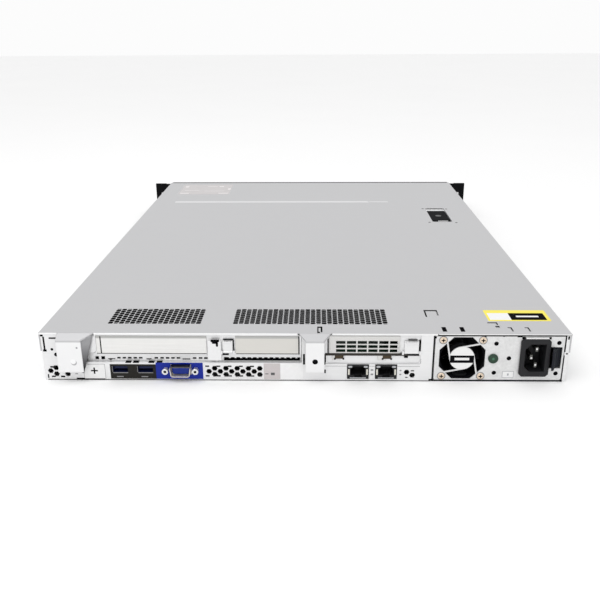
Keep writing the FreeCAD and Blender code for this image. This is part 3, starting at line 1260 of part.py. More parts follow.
vent_holes = []
for start, columns in ((at.vent_left_start, at.vent_left_columns),
                       (at.vent_right_start, at.vent_right_columns)):
    for column in range(int(columns.number)):
        for row in range(int(at.vent_rows.number)):
            shift = 0.5 * (column % 2)
            x = start + column * at.vent_column_pitch
            y = rear + at.vent_setback + (row + shift) * at.vent_row_pitch
            half = at.vent_hole / 2
            vent_holes.append([(x - half, y), (x, y - half), (x + half, y), (x, y + half)])
top_sheet = perforated("hood_top_sheet", (-half_width, half_width), (rear, hood_front),
                       (hood_under, hood_top), vent_holes)
flanges = []
flange_span = (rear, ear_front - at.ear_thick - 1)
for start, end in ((-half_width, -half_width + at.hood_gauge), (half_width - at.hood_gauge, half_width)):
    flanges.append(block("hood_flange", (start, end), flange_span, (hood_under - at.flange_drop, hood_under)))


def rear_tab(name, root, root_width, start, width, foot):
    """A ramp that falls behind the rear panel and turns down into a plate."""
    out = rear - at.tab_reach
    low = hood_top - at.tab_drop
    gauge = at.hood_gauge
    body = prism(name, "YZ", [(rear, hood_top), (rear, hood_under), (out + gauge, low - gauge),
                              (out + gauge, foot), (out, foot), (out, low)],
                 (root, root + root_width))
    beyond = out - 1
    cutters = []
    for edge, bend, side in ((root, start - 0.1, -1), (root + root_width, start + width + 0.1, 1)):
        cutters.append(prism(name + "_side", "XY",
                             [(edge, rear), (edge + side * 1, rear), (edge + side * 1, beyond), (bend, beyond),
                              (bend, out + gauge)], (foot - 1, hood_top + 1)))
    return cut(name + "_cut", body, *cutters)


left_tab = rear_tab("hood_tab_left", at.tab_left_root, at.tab_left_root_width, at.tab_left_start,
                    at.tab_left_width, at.tab_left_foot)
middle_tab = rear_tab("hood_tab_middle", at.tab_mid_root, at.tab_mid_root_width, at.tab_mid_start,
                      at.tab_mid_width, at.tab_mid_foot)
recess_y = (rear + at.recess_setback, rear + at.recess_setback + at.recess_length)
recess_x = (at.recess_start, at.recess_start + at.recess_width)
sheet_cut = (hood_under - 1, hood_top + 1)
flap_y = rear + at.flap_setback
hood_cuts = [
    block("recess_cut", recess_x, recess_y, sheet_cut),
    block("bead_cut", (-at.bead_reach, at.bead_reach), span_about(rear + at.bead_setback, at.bead_width),
          (hood_top - at.bead_deep, hood_top + 1)),
    block("flap_slit", (at.flap_start, at.flap_start + at.slit), (flap_y, flap_y + at.flap_length), sheet_cut),
    block("flap_slit", (at.flap_start + at.flap_width - at.slit, at.flap_start + at.flap_width),
          (flap_y, flap_y + at.flap_length), sheet_cut),
    block("flap_end", (at.flap_start, at.flap_start + at.flap_width),
          (flap_y + at.flap_length - at.slit, flap_y + at.flap_length), sheet_cut),
]
for index in range(2):
    slot_x = at.key_slot_start + index * at.key_slot_pitch
    hood_cuts.append(block("key_slot", (slot_x, slot_x + at.key_slot_width),
                           (rear + at.key_slot_setback, rear + at.key_slot_setback + at.key_slot_length),
                           sheet_cut))
node("hood", cut("hood_body", top_sheet, *hood_cuts))
tab_hole = rod("tab_hole", "y", at.tab_hole_radius, (rear - at.tab_reach - 1, rear - at.tab_reach + 2),
               x=at.tab_hole_place, z=at.tab_hole_level)
node("hood_flanges", compound("hood_flange_set", *flanges, left_tab, cut("middle_tab_open", middle_tab, tab_hole)))


# Hood latch: a dish below the sheet, a lever on a pin, and its lock screw
dish_x = (recess_x[0] - at.dish_gauge, recess_x[1] + at.dish_gauge)
dish_y = (recess_y[0] - at.dish_gauge, recess_y[1] + at.dish_gauge)
slope = at.dish_depth * 0.7
dish = prism("dish_block", "YZ",
             [(dish_y[0], hood_under), (dish_y[0] + slope, dish_foot), (dish_y[1] - slope, dish_foot),
              (dish_y[1], hood_under)], dish_x)
rim = block("dish_rim_sheet", (recess_x[0] - at.dish_rim, recess_x[1] + at.dish_rim),
            (recess_y[0] - at.dish_rim, recess_y[1] + at.dish_rim), (hood_under - at.dish_gauge, hood_under))
hollow = prism("dish_hollow", "YZ",
               [(recess_y[0], hood_under + 1), (recess_y[0], hood_under - 0.4),
                (dish_y[0] + slope + at.dish_gauge * 0.4, dish_foot + at.dish_gauge),
                (dish_y[1] - slope - at.dish_gauge * 0.4, dish_foot + at.dish_gauge),
                (recess_y[1], hood_under - 0.4), (recess_y[1], hood_under + 1)], recess_x)
node("latch_dish", cut("dish_body", fuse("dish_solid", dish, rim), hollow))
latch_pin_y = recess_y[1] - at.lever_pin_setback
latch_pin_z = hood_top - at.lever_sink - at.lever_thick / 2
node("latch_pin", rod("latch_pin_rod", "x", at.lever_pin_radius, (recess_x[0], recess_x[1]),
                      y=latch_pin_y, z=latch_pin_z))
lever_x = (recess_x[0] + at.lever_gap, recess_x[1] - at.lever_gap)
lever_rear = recess_y[0] + at.lever_scoop
lever_top = hood_top - at.lever_sink
lever_plate = prism("latch_lever_plate", "YZ",
                    [(lever_rear, lever_top - at.lever_thick * 0.4), (lever_rear + 4, lever_top),
                     (latch_pin_y, lever_top), (latch_pin_y, lever_top - at.lever_thick),
                     (lever_rear, lever_top - at.lever_thick)], lever_x)
lever_barrel = prism("latch_barrel", "YZ", regular_about(latch_pin_y, latch_pin_z, at.lever_thick / 2, 16),
                     lever_x)
lever_bore = prism("latch_bore", "YZ", regular_about(latch_pin_y, latch_pin_z, at.lever_pin_radius + 0.05, 12),
                   (lever_x[0] - 1, lever_x[1] + 1))
lock_y = lever_rear + 26
lock_x = (lever_x[0] + lever_x[1]) / 2
lock_seat = prism("lock_seat", "XY", regular(lock_x, lock_y, at.lock_radius, 16), (lever_top - 1.4, lever_top + 1))
node("latch_lever", cut("latch_lever_body", fuse("latch_lever_solid", lever_plate, lever_barrel), lever_bore,
                        lock_seat))
node("latch_screw", prism("latch_screw_head", "XY", regular(lock_x, lock_y, at.lock_radius - 0.3, 16),
                          (lever_top - 1.4, lever_top)))


# Build, test and write each sub-part
doc.recompute()
for item in doc.Objects:
    faults = [state for state in item.State if state in ("Invalid", "Error")]
    if faults:
        raise RuntimeError(f"{item.Name}: {faults}")
for name, thing in nodes.items():
    shape = thing.Shape
    if shape.isNull() or not shape.isValid() or not shape.Solids:
        raise RuntimeError(f"{name} has no valid solid")
os.makedirs("parts", exist_ok=True)
for name, thing in nodes.items():
    thing.Shape.exportStep(f"parts/{name}.step")
print(len(nodes), "sub-parts")
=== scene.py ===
"""A one-unit rack server seen from its rear: a plated sheet-metal chassis and lift-off hood, card slots,
port row and sliding power supply, with its boards, coolers, fans and drives inside.
Metres; +X is right from the rear, +Y runs to the drives, +Z is up."""

import math

import bpy
import numpy as np
from mathutils import Matrix, Vector


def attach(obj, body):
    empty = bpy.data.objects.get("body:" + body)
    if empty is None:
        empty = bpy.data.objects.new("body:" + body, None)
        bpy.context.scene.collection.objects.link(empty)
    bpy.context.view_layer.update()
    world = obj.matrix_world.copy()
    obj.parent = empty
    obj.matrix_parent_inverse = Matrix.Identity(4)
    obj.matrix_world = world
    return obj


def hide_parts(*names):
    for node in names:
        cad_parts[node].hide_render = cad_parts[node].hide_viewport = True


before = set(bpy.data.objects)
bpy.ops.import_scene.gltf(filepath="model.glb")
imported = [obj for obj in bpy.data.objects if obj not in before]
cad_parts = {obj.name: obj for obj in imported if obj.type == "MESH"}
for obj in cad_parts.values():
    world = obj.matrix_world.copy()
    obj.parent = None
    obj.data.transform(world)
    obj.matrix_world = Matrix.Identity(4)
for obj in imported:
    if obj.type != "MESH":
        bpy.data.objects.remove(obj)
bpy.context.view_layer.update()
MM = 0.001


# Camera
# It stands behind the server and above it, looking slightly down, where the photographer stood.
CAMERA_PLACE = Vector((0.0100, -0.8580, 0.2808))
CAMERA_PITCH = math.radians(20.64)
CAMERA_YAW = math.radians(-1.29)
CAMERA_ROLL = math.radians(-0.34)
CAMERA_LENS = 44.51
SENSOR_WIDTH = 36
forward = Vector((math.sin(CAMERA_YAW) * math.cos(CAMERA_PITCH),
                  math.cos(CAMERA_YAW) * math.cos(CAMERA_PITCH), -math.sin(CAMERA_PITCH)))
level_right = Vector((math.cos(CAMERA_YAW), -math.sin(CAMERA_YAW), 0))
level_up = level_right.cross(forward)
camera_right = math.cos(CAMERA_ROLL) * level_right + math.sin(CAMERA_ROLL) * level_up
camera_up = -math.sin(CAMERA_ROLL) * level_right + math.cos(CAMERA_ROLL) * level_up
camera_data = bpy.data.cameras.new("camera")
camera_data.lens = CAMERA_LENS
camera_data.sensor_width = SENSOR_WIDTH
camera_data.clip_start = 0.01
camera = bpy.data.objects.new("camera", camera_data)
bpy.context.collection.objects.link(camera)
turn = Matrix((camera_right, camera_up, -forward)).transposed()
camera.matrix_world = Matrix.Translation(CAMERA_PLACE) @ turn.to_4x4()
bpy.context.scene.camera = camera


# Light and floor
# A white studio: an even surround, one large soft lamp above and behind the camera, and a paper sweep.
SURROUND = 0.93
SEEN_WHITE = 0.975
LAMP_POWER = 7.0
LAMP_SIZE = 1.2
LAMP_PLACE = Vector((-0.45, -0.75, 1.5))
LAMP_AIM = Vector((0, -0.1, 0))
bpy.context.scene.view_settings.view_transform = "Standard"
world = bpy.data.worlds.new("studio")
bpy.context.scene.world = world
world.use_nodes = True
sky = world.node_tree
surround = sky.nodes["Background"]
surround.inputs["Color"].default_value = (1.0, 1.0, 1.0, 1.0)
surround.inputs["Strength"].default_value = SURROUND
seen_white = sky.nodes.new("ShaderNodeBackground")
seen_white.inputs["Color"].default_value = (SEEN_WHITE, SEEN_WHITE, SEEN_WHITE, 1.0)
seen_white.inputs["Strength"].default_value = 1.0
rays = sky.nodes.new("ShaderNodeLightPath")
choose = sky.nodes.new("ShaderNodeMixShader")
sky.links.new(rays.outputs["Is Camera Ray"], choose.inputs["Fac"])
sky.links.new(surround.outputs[0], choose.inputs[1])
sky.links.new(seen_white.outputs[0], choose.inputs[2])
sky.links.new(choose.outputs[0], sky.nodes["World Output"].inputs["Surface"])
lamp_data = bpy.data.lights.new("lamp_above", "AREA")
lamp_data.size = LAMP_SIZE
lamp_data.energy = LAMP_POWER
lamp = bpy.data.objects.new("lamp_above", lamp_data)
bpy.context.collection.objects.link(lamp)
lamp_way = LAMP_AIM - LAMP_PLACE
lamp.matrix_world = Matrix.Translation(LAMP_PLACE) @ lamp_way.to_track_quat("-Z", "Y").to_matrix().to_4x4()


def new_material(name, color, roughness, metallic=0.0):
    """A Principled material with its plain values, ready for the nodes that vary it."""
    material = bpy.data.materials.new(name)
    material.use_nodes = True
    shader = material.node_tree.nodes["Principled BSDF"]
    shader.inputs["Base Color"].default_value = (*color, 1)
    shader.inputs["Roughness"].default_value = roughness
    shader.inputs["Metallic"].default_value = metallic
    return material, material.node_tree, shader


def grid_quads(rows, columns, wrap=False):
    """Corner numbers of the quads between neighbouring points of a grid stored row by row."""
    index = np.arange(rows * columns).reshape(rows, columns)
    if wrap:
        index = np.hstack([index, index[:, :1]])
    return np.stack([index[:-1, :-1], index[:-1, 1:], index[1:, 1:], index[1:, :-1]],
                    axis=-1).reshape(-1, 4)


def mesh_piece(name, points, faces, material, smooth=False):
    """A mesh object at the origin, from points in millimetres and lists of corner numbers."""
    mesh = bpy.data.meshes.new(name)
    mesh.from_pydata((np.asarray(points, float) * MM).tolist(), [], [list(face) for face in faces])
    mesh.materials.append(material)
    mesh.polygons.foreach_set("use_smooth", np.full(len(mesh.polygons), smooth))
    mesh.update()
    piece = bpy.data.objects.new(name, mesh)
    bpy.context.collection.objects.link(piece)
    return piece


def object_place(tree):
    """A node output with each point's place in its object's own coordinates."""
    return tree.nodes.new("ShaderNodeTexCoord").outputs["Object"]


def two_toned(tree, shader, share, first, second):
    """Gives a surface two colours, mixed by a share."""
    tone = tree.nodes.new("ShaderNodeMixRGB")
    tone.inputs["Color1"].default_value = (*first, 1)
    tone.inputs["Color2"].default_value = (*second, 1)
    tree.links.new(share, tone.inputs["Fac"])
    tree.links.new(tone.outputs["Color"], shader.inputs["Base Color"])


def lifted(tree, shader, height, strength, depth=0.0002, edge=0.0):
    """Lifts a surface by a height, depth metres at full strength, and rounds its edges by edge mm."""
    relief = tree.nodes.new("ShaderNodeBump")
    relief.inputs["Strength"].default_value = strength
    relief.inputs["Distance"].default_value = depth
    tree.links.new(height, relief.inputs["Height"])
    tree.links.new(relief.outputs["Normal"], shader.inputs["Normal"])
    if edge:
        rounded = tree.nodes.new("ShaderNodeBevel")
        rounded.samples = 4
        rounded.inputs["Radius"].default_value = edge * MM
        tree.links.new(rounded.outputs["Normal"], relief.inputs["Normal"])


def mottled_material(name, darker, lighter, roughness, scale, bump=0.0, gloss=0.22, edge=0.0):
    """Two close tones mixed by a soft noise, which also varies the roughness and lifts the surface."""
    material, tree, shader = new_material(name, lighter, roughness)
    shader.inputs["Specular IOR Level"].default_value = gloss
    mottle = tree.nodes.new("ShaderNodeTexNoise")
    mottle.inputs["Scale"].default_value = scale
    mottle.inputs["Detail"].default_value = 3
    tree.links.new(object_place(tree), mottle.inputs["Vector"])
    share = mottle.outputs["Fac"]
    two_toned(tree, shader, share, darker, lighter)
    shade = tree.nodes.new("ShaderNodeMapRange")
    shade.inputs["To Min"].default_value = roughness * 0.85
    shade.inputs["To Max"].default_value = min(1.0, roughness * 1.15)
    tree.links.new(share, shade.inputs["Value"])
    tree.links.new(shade.outputs["Result"], shader.inputs["Roughness"])
    lifted(tree, shader, share, bump, edge=edge)
    return material


FLOOR_REACH = 6000
floor_line = np.linspace(-FLOOR_REACH, FLOOR_REACH, 3)
floor_x, floor_y = np.meshgrid(floor_line, floor_line)
paper = mottled_material("paper_sweep", (0.97, 0.97, 0.97), (0.99, 0.99, 0.99), 0.9, 3)
floor = mesh_piece("floor", np.stack([floor_x.ravel(), floor_y.ravel(), np.zeros(9)], axis=1),
                   grid_quads(3, 3), paper)


# Base pan, drive cage, fan wall and rail studs
# Zinc-plated steel sheet, cut, folded and riveted: streaks of the rolling mill along X, a fine blotch
# of the plating, and edges that the press left slightly round.
STREAK_STRETCH = (22, 850, 850)
EDGE_RADIUS = 0.35


def make_plating_group():
    """Colour, roughness and height of plated sheet: stretched noise for streaks over a softer blotch."""
    group = bpy.data.node_groups.new("plated_sheet", "ShaderNodeTree")
    number, color = "NodeSocketFloat", "NodeSocketColor"
    for way, name, kind in (("INPUT", "Color", color), ("INPUT", "Variation", number),
                            ("INPUT", "Blotch Scale", number), ("INPUT", "Streak Share", number),
                            ("INPUT", "Roughness", number), ("OUTPUT", "Color", color),
                            ("OUTPUT", "Roughness", number), ("OUTPUT", "Height", number)):
        group.interface.new_socket(name, in_out=way, socket_type=kind)
    nodes, links = group.nodes, group.links
    given = nodes.new("NodeGroupInput")
    result = nodes.new("NodeGroupOutput")
    place = object_place(group)
    stretch = nodes.new("ShaderNodeMapping")
    stretch.inputs["Scale"].default_value = STREAK_STRETCH
    links.new(place, stretch.inputs["Vector"])
    streak = nodes.new("ShaderNodeTexNoise")
    streak.inputs["Scale"].default_value = 1.0
    streak.inputs["Detail"].default_value = 2.0
    links.new(stretch.outputs["Vector"], streak.inputs["Vector"])
    blotch = nodes.new("ShaderNodeTexNoise")
    blotch.inputs["Detail"].default_value = 4.0
    blotch.inputs["Roughness"].default_value = 0.6
    links.new(place, blotch.inputs["Vector"])
    links.new(given.outputs["Blotch Scale"], blotch.inputs["Scale"])
    both = nodes.new("ShaderNodeMix")
    links.new(given.outputs["Streak Share"], both.inputs["Factor"])
    links.new(blotch.outputs["Fac"], both.inputs["A"])
    links.new(streak.outputs["Fac"], both.inputs["B"])
    centred = nodes.new("ShaderNodeMath")
    centred.operation = "SUBTRACT"
    centred.inputs[1].default_value = 0.5
    links.new(both.outputs["Result"], centred.inputs[0])
    amount = nodes.new("ShaderNodeMath")
    amount.operation = "MULTIPLY_ADD"
    amount.inputs[2].default_value = 1.0
    links.new(centred.outputs[0], amount.inputs[0])
    links.new(given.outputs["Variation"], amount.inputs[1])
    tint = nodes.new("ShaderNodeVectorMath")
    tint.operation = "SCALE"
    links.new(given.outputs["Color"], tint.inputs[0])
    links.new(amount.outputs[0], tint.inputs["Scale"])
    links.new(tint.outputs[0], result.inputs["Color"])
    rough = nodes.new("ShaderNodeMath")
    rough.operation = "MULTIPLY"
    links.new(amount.outputs[0], rough.inputs[0])
    links.new(given.outputs["Roughness"], rough.inputs[1])
    links.new(rough.outputs[0], result.inputs["Roughness"])
    links.new(both.outputs["Result"], result.inputs["Height"])
    return group


plated_sheet = make_plating_group()


def plated_material(name, color, roughness, metallic, variation, blotch, bump, streaks=0.5):
    """Plated sheet in one tone, from the shared plating pattern, with its edges slightly rounded."""
    material, tree, shader = new_material(name, color, roughness, metallic)
    pattern = tree.nodes.new("ShaderNodeGroup")
    pattern.node_tree = plated_sheet
    for measure, value in (("Color", (*color, 1)), ("Variation", variation), ("Blotch Scale", blotch),
                           ("Streak Share", streaks), ("Roughness", roughness)):
        pattern.inputs[measure].default_value = value
    tree.links.new(pattern.outputs["Color"], shader.inputs["Base Color"])
    tree.links.new(pattern.outputs["Roughness"], shader.inputs["Roughness"])
    lifted(tree, shader, pattern.outputs["Height"], bump, edge=EDGE_RADIUS)
    return material


def finish(material, *names):
    """Gives CAD nodes their material."""
    for name in names:
        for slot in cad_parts[name].material_slots:
            slot.material = material


def toned(material, measure, start, end, color):
    """Turns a material's tone into another one as a measure of the place (mm) goes from start to end."""
    tree = material.node_tree
    shader = tree.nodes["Principled BSDF"]
    tone = shader.inputs["Base Color"].links[0].from_socket
    reach = tree.nodes.new("ShaderNodeMapRange")
    reach.inputs["From Min"].default_value = start * MM
    reach.inputs["From Max"].default_value = end * MM
    tree.links.new(measure, reach.inputs["Value"])
    blend = tree.nodes.new("ShaderNodeMixRGB")
    blend.inputs["Color2"].default_value = (*color, 1)
    tree.links.new(reach.outputs["Result"], blend.inputs["Fac"])
    tree.links.new(tone, blend.inputs["Color1"])
    tree.links.new(blend.outputs["Color"], shader.inputs["Base Color"])


def shaded_along(material, axis, start, end, color):
    """Turns a material's tone into another one between two distances (mm) along one of its axes."""
    tree = material.node_tree
    parts = tree.nodes.new("ShaderNodeSeparateXYZ")
    tree.links.new(object_place(tree), parts.inputs[0])
    toned(material, parts.outputs[axis], start, end, color)


SPOT_BLUR = 0.3


def spotted(material, x, z, radius, color):
    """Puts a round spot of another tone (mm) on a material, as seen from the rear."""
    tree = material.node_tree
    offset = tree.nodes.new("ShaderNodeVectorMath")
    offset.operation = "MULTIPLY_ADD"
    offset.inputs[1].default_value = (1, 0, 1)
    offset.inputs[2].default_value = (-x * MM, 0, -z * MM)
    distance = tree.nodes.new("ShaderNodeVectorMath")
    distance.operation = "LENGTH"
    tree.links.new(object_place(tree), offset.inputs[0])
    tree.links.new(offset.outputs["Vector"], distance.inputs[0])
    toned(material, distance.outputs["Value"], radius + SPOT_BLUR, radius - SPOT_BLUR, color)


pan_metal = plated_material("pan_plating", (0.62, 0.62, 0.63), 0.42, 0.6, 0.12, 140, 0.15)
bright_metal = plated_material("bright_plating", (0.80, 0.80, 0.80), 0.22, 0.9, 0.08, 300, 0.05)
finish(pan_metal, "base_pan", "drive_cage", "fan_wall")
finish(bright_metal, "rail_studs")


# Rear panel
# The chassis' rear wall: bright plated sheet with its windows, a shelf under the card slots, lanced
# holes beside the ports, and the narrow gaps that its folds leave, drawn as black plates of painted shade.
def moulded_material(name, color, roughness, grain=900, bump=0.15, variation=0.2, gloss=0.22):
    """Moulded plastic: grain in its relief and roughness, a slight drift in its tone, soft edges."""
    darker = [shade * (1 - variation) for shade in color]
    lighter = [min(1, shade * (1 + variation)) for shade in color]
    return mottled_material(name, darker, lighter, roughness, grain, bump, gloss, EDGE_RADIUS)


FACINGS = {"rear": ((1, 0, 0), (0, 0, 1), (0, -1, 0)), "top": ((1, 0, 0), (0, 1, 0), (0, 0, 1)),
           "right": ((0, 1, 0), (0, 0, 1), (1, 0, 0))}
REAR_FACE = 303.5


def lay(flat, level, facing):
    """Points of a plane that faces one way: across it, up it, and out of it by their level."""
    across, along, out = (np.array(way, float) for way in FACINGS[facing])
    return flat[:, :1] * across + flat[:, 1:] * along + np.reshape(level, (-1, 1)) * out


def rounded_outline(width, height, corner, steps=4):
    """Points round a rectangle with quarter-circle corners: each corner's centre plus a turning radius."""
    number = np.arange(4 * steps)
    quarter = number // steps
    turn = (quarter + (number % steps) / (steps - 1)) * (math.pi / 2)
    side_x = np.array([1, -1, -1, 1])[quarter]
    side_y = np.array([1, 1, -1, -1])[quarter]
    return np.stack([side_x * (width / 2 - corner) + corner * np.cos(turn),
                     side_y * (height / 2 - corner) + corner * np.sin(turn)], axis=1)


def plates(name, places, level, thick, facing, material, corner=0.3, bevel=0.08):
    """Flat plates with rounded corners and a bevelled rim, as one mesh.
    Each is three rings of one outline: at the back, under the bevel, and drawn in at the front.
    Places are (across, up, width, height) of the plates' middles."""
    points = []
    faces = []
    first = 0
    for across, up, width, height in places:
        radius = min(corner, 0.49 * width, 0.49 * height)
        outer = rounded_outline(width, height, radius)
        inner = outer * (1 - 2 * bevel / np.array((width, height)))
        count = len(outer)
        for ring, depth in ((outer, 0.0), (outer, thick - bevel), (inner, thick)):
            points.append(lay(ring + (across, up), np.full(count, level + depth), facing))
        faces += (grid_quads(3, count, wrap=True) + first).tolist()
        faces.append((np.arange(count)[::-1] + first).tolist())
        faces.append((np.arange(count) + first + 2 * count).tolist())
        first += 3 * count
    return mesh_piece(name, np.vstack(points), faces, material)


def turned(name, places, level, profile, facing, material, sides=20, smooth=True):
    """Turned pieces as one mesh: a profile of (radius, depth out) rows carried round its axis.
    Its first and last rows have no radius and are poles. Places are (across, up) of the axes."""
    angle = np.arange(sides) * (2 * math.pi / sides)
    circle = np.stack([np.cos(angle), np.sin(angle)], axis=1)
    rows = len(profile) - 2
    flat = np.vstack([np.zeros((1, 2))] + [radius * circle for radius, _ in profile[1:-1]]
                     + [np.zeros((1, 2))])
    depth = np.concatenate([[profile[0][1]], np.repeat([out for _, out in profile[1:-1]], sides),
                            [profile[-1][1]]])
    around = np.arange(sides)
    beside = (around + 1) % sides
    last_ring = 1 + (rows - 1) * sides
    pole = last_ring + sides
    walls = grid_quads(rows, sides, wrap=True) + 1
    back = np.stack([np.zeros(sides, int), 1 + beside, 1 + around], axis=1)
    front = np.stack([np.full(sides, pole), last_ring + around, last_ring + beside], axis=1)
    points = []
    faces = []
    for number, place in enumerate(places):
        points.append(lay(flat + place, level + depth, facing))
        for pattern in (walls, back, front):
            faces += (pattern + number * (pole + 1)).tolist()
    return mesh_piece(name, np.vstack(points), faces, material, smooth)


def placed(piece, body):
    """The piece rides on its body."""
    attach(piece, body)


def rear_plates(name, places, rise, thick, material, body, corner=0.3, bevel=0.08):
    """Plates that lie on the rear face, rise mm out of it."""
    placed(plates(name, places, REAR_FACE + rise, thick, "rear", material, corner, bevel), body)


rear_metal = plated_material("panel_plating", (0.80, 0.80, 0.805), 0.36, 0.45, 0.16, 110, 0.15)
# Near-black moulding: painted shade in gaps, holes, notches and recesses, and also the true black of print
# and of the supply's fan frame.
shade_and_true_black = moulded_material("painted_shade_and_true_black", (0.004, 0.004, 0.005), 0.85, bump=0.05, gloss=0.03)
finish(rear_metal, "rear_panel")


def gap_shade_plates(name, places, corner, thick=0.12, body="chassis"):
    """Thin black plates on the rear face: painted shade for the dark that shows in narrow gaps."""
    rear_plates(name, places, 0, thick, shade_and_true_black, body, corner, 0.04)


# Painted shade in the narrow gaps of the panel's folds.
FOLD_GAPS = [(-213.6, 33.6, 1.4, 11.5), (-214.8, 40.3, 2.4, 1.6), (-213.6, 26.9, 3.0, 1.9),
             (-206.0, 38.0, 6.2, 1.3), (-209.3, 11.9, 3.5, 1.4), (-209.0, 3.2, 3.4, 1.3),
             (-202.2, 10.8, 1.5, 3.6), (-201.0, 8.2, 3.2, 1.4), (-201.2, 3.1, 3.6, 1.4),
             (-213.4, 3.4, 1.0, 3.6), (-189.5, 5.6, 2.4, 0.5)]
gap_shade_plates("left_fold_gap_shade", FOLD_GAPS, 0.4)
DIMPLE = [(0, 0), (1.7, 0), (1.6, 0.25), (1.2, 0.3), (0.7, 0.12), (0, 0.08)]
grey_metal = plated_material("shaded_plating", (0.30, 0.30, 0.31), 0.4, 0.7, 0.2, 200, 0.1)
# A pressed dimple and a pin hole, drawn black as painted shade.
placed(turned("panel_dimple_shade", [(-204.6, 23.2)], REAR_FACE, DIMPLE, "rear", shade_and_true_black),
       "chassis")
PIN_HOLE = [(0, 0), (1.15, 0), (1.15, 0.1), (0.9, 0.12), (0, 0.12)]
placed(turned("panel_pin_hole_shade", [(-207.6, 27.9)], REAR_FACE, PIN_HOLE, "rear", shade_and_true_black),
       "chassis")
# Painted shade in the gaps round the supply's bay.
BAY_GAPS = [(106.5, 21.0, 1.1, 41.0), (159.7, 41.25, 107.4, 0.9), (107.6, 39.6, 1.6, 1.6),
            (147.4, 40.9, 2.2, 1.4), (162.6, 40.9, 1.7, 0.9), (175.4, 40.8, 4.0, 1.5),
            (159.7, 0.85, 108.0, 1.1), (105.4, 1.3, 3.4, 1.8), (212.85, 34.0, 1.0, 14.0),
            (212.9, 12.0, 0.7, 24.0), (214.9, 39.6, 1.4, 3.0), (214.8, 25.5, 1.6, 1.2)]
gap_shade_plates("bay_gap_shade", BAY_GAPS, 0.3)
STEP_LINES = [(57.0, 15.95, 78.0, 0.35), (57.0, 13.6, 78.0, 0.3), (96.4, 18.3, 0.35, 4.4)]
rear_plates("panel_step_lines", STEP_LINES, 0, 0.1, grey_metal, "chassis", 0.15, 0.04)
# Painted shade in slits beside the port row and along the panel's bottom edge.
HEX_SLITS = [(-79.8 + 9.32 * step, level, 3.3, 1.2) for step in range(5) for level in (13.1, 4.2)]
HEX_SLITS += [(90.0, 9.6, 3.0, 0.9), (85.3, 3.6, 2.2, 0.8), (-54.5, 0.45, 319.0, 0.6),
              (-178.0, 1.1, 24.0, 1.7), (18.2, 21.2, 0.8, 8.6), (17.9, 8.8, 1.3, 3.4)]
gap_shade_plates("comb_slit_shade", HEX_SLITS, 0.4)


# Shelf and guide strip of the card slots
# A bright strip stands on the panel's shelf under the slot covers. It has a row of small windows for the
# grounding fingers, two square ones at its left and a long toothed one at its right.
WELD_DIGITS = 4


def plan_cells(breaks_across, breaks_up, openings):
    """Quads between sorted break lines, without those whose middle lies in an opening
    (low across, low up, high across, high up)."""
    across = np.unique(np.round(breaks_across, WELD_DIGITS))
    up = np.unique(np.round(breaks_up, WELD_DIGITS))
    left, low = (grid.ravel() for grid in np.meshgrid(across[:-1], up[:-1]))
    right, high = (grid.ravel() for grid in np.meshgrid(across[1:], up[1:]))
    kept = np.ones(len(left), bool)
    for x0, y0, x1, y1 in openings:
        middle_x, middle_y = (left + right) / 2, (low + high) / 2
        kept &= ~((middle_x > x0) & (middle_x < x1) & (middle_y > y0) & (middle_y < y1))
    cells = np.stack([np.stack([left, low], 1), np.stack([right, low], 1),
                      np.stack([right, high], 1), np.stack([left, high], 1)], axis=1)
    return cells[kept]


def rim_edges(quads):
    """The edges, as pairs of corner numbers, that only one quad has."""
    edges = np.stack([quads, np.roll(quads, -1, axis=1)], axis=-1).reshape(-1, 2)
    _, back, times = np.unique(np.sort(edges, axis=1), axis=0, return_inverse=True, return_counts=True)
    return edges[times[back.ravel()] == 1]


def plan_sheet(name, cells, low, high, facing, material):
    """A sheet cut from a plan: its quads are welded, copied to a low and a high level, and every edge
    that only one quad has gets a wall."""
    plan, index = np.unique(np.round(cells.reshape(-1, 2), WELD_DIGITS), axis=0, return_inverse=True)
    quads = index.reshape(-1, 4)
    count = len(plan)
    points = np.vstack([lay(plan, np.full(count, level), facing) for level in (low, high)])
    rim = rim_edges(quads)
    walls = np.stack([rim[:, 0], rim[:, 1], rim[:, 1] + count, rim[:, 0] + count], axis=1)
    return mesh_piece(name, points, np.vstack([quads[:, ::-1], quads + count, walls]).tolist(), material)


def windowed_plate(name, outline, openings, level, thick, facing, material):
    """A rectangular plate with rectangular windows, from break lines at every edge of either."""
    across = [outline[0], outline[2]] + [edge for window in openings for edge in (window[0], window[2])]
    up = [outline[1], outline[3]] + [edge for window in openings for edge in (window[1], window[3])]
    return plan_sheet(name, plan_cells(across, up, openings), level, level + thick, facing, material)


SHELF_TOP = 16.4
STRIP_LEVEL = 299.6
STRIP_OUTLINE = (-180.0, 16.5, -1.6, 23.9)
NOTCHES = [(-147.7, -142.9), (-141.4, -136.4), (-128.5, -123.6), (-121.8, -117.0)]
DASHES = (-153.6, -149.1, -144.5, -140.0, -135.4, -122.4, -117.5, -112.9, -108.4, -103.8,
          -90.4, -85.4, -81.0)
STRIP_WINDOWS = [(-173.3, 17.5, -170.3, 20.4), (-168.3, 17.5, -165.2, 20.4), (-162.8, 17.7, -156.6, 18.6),
                 (-161.6, 16.9, -159.4, 17.7), (-130.6, 17.5, -126.4, 18.6), (-100.6, 17.5, -94.0, 18.6),
                 (-66.0, 16.8, -2.4, 20.0)]
STRIP_WINDOWS += [(middle - 1.5, 18.2, middle + 1.5, 19.8) for middle in DASHES]
placed(windowed_plate("guide_strip", STRIP_OUTLINE, STRIP_WINDOWS, STRIP_LEVEL, 0.8, "rear", rear_metal),
       "chassis")
TEETH = [(-61.0 + 4.6 * step, 19.6, 1.6, 1.0) for step in range(13)]
placed(plates("strip_teeth", TEETH, STRIP_LEVEL, 0.8, "rear", rear_metal, 0.2, 0.1), "chassis")
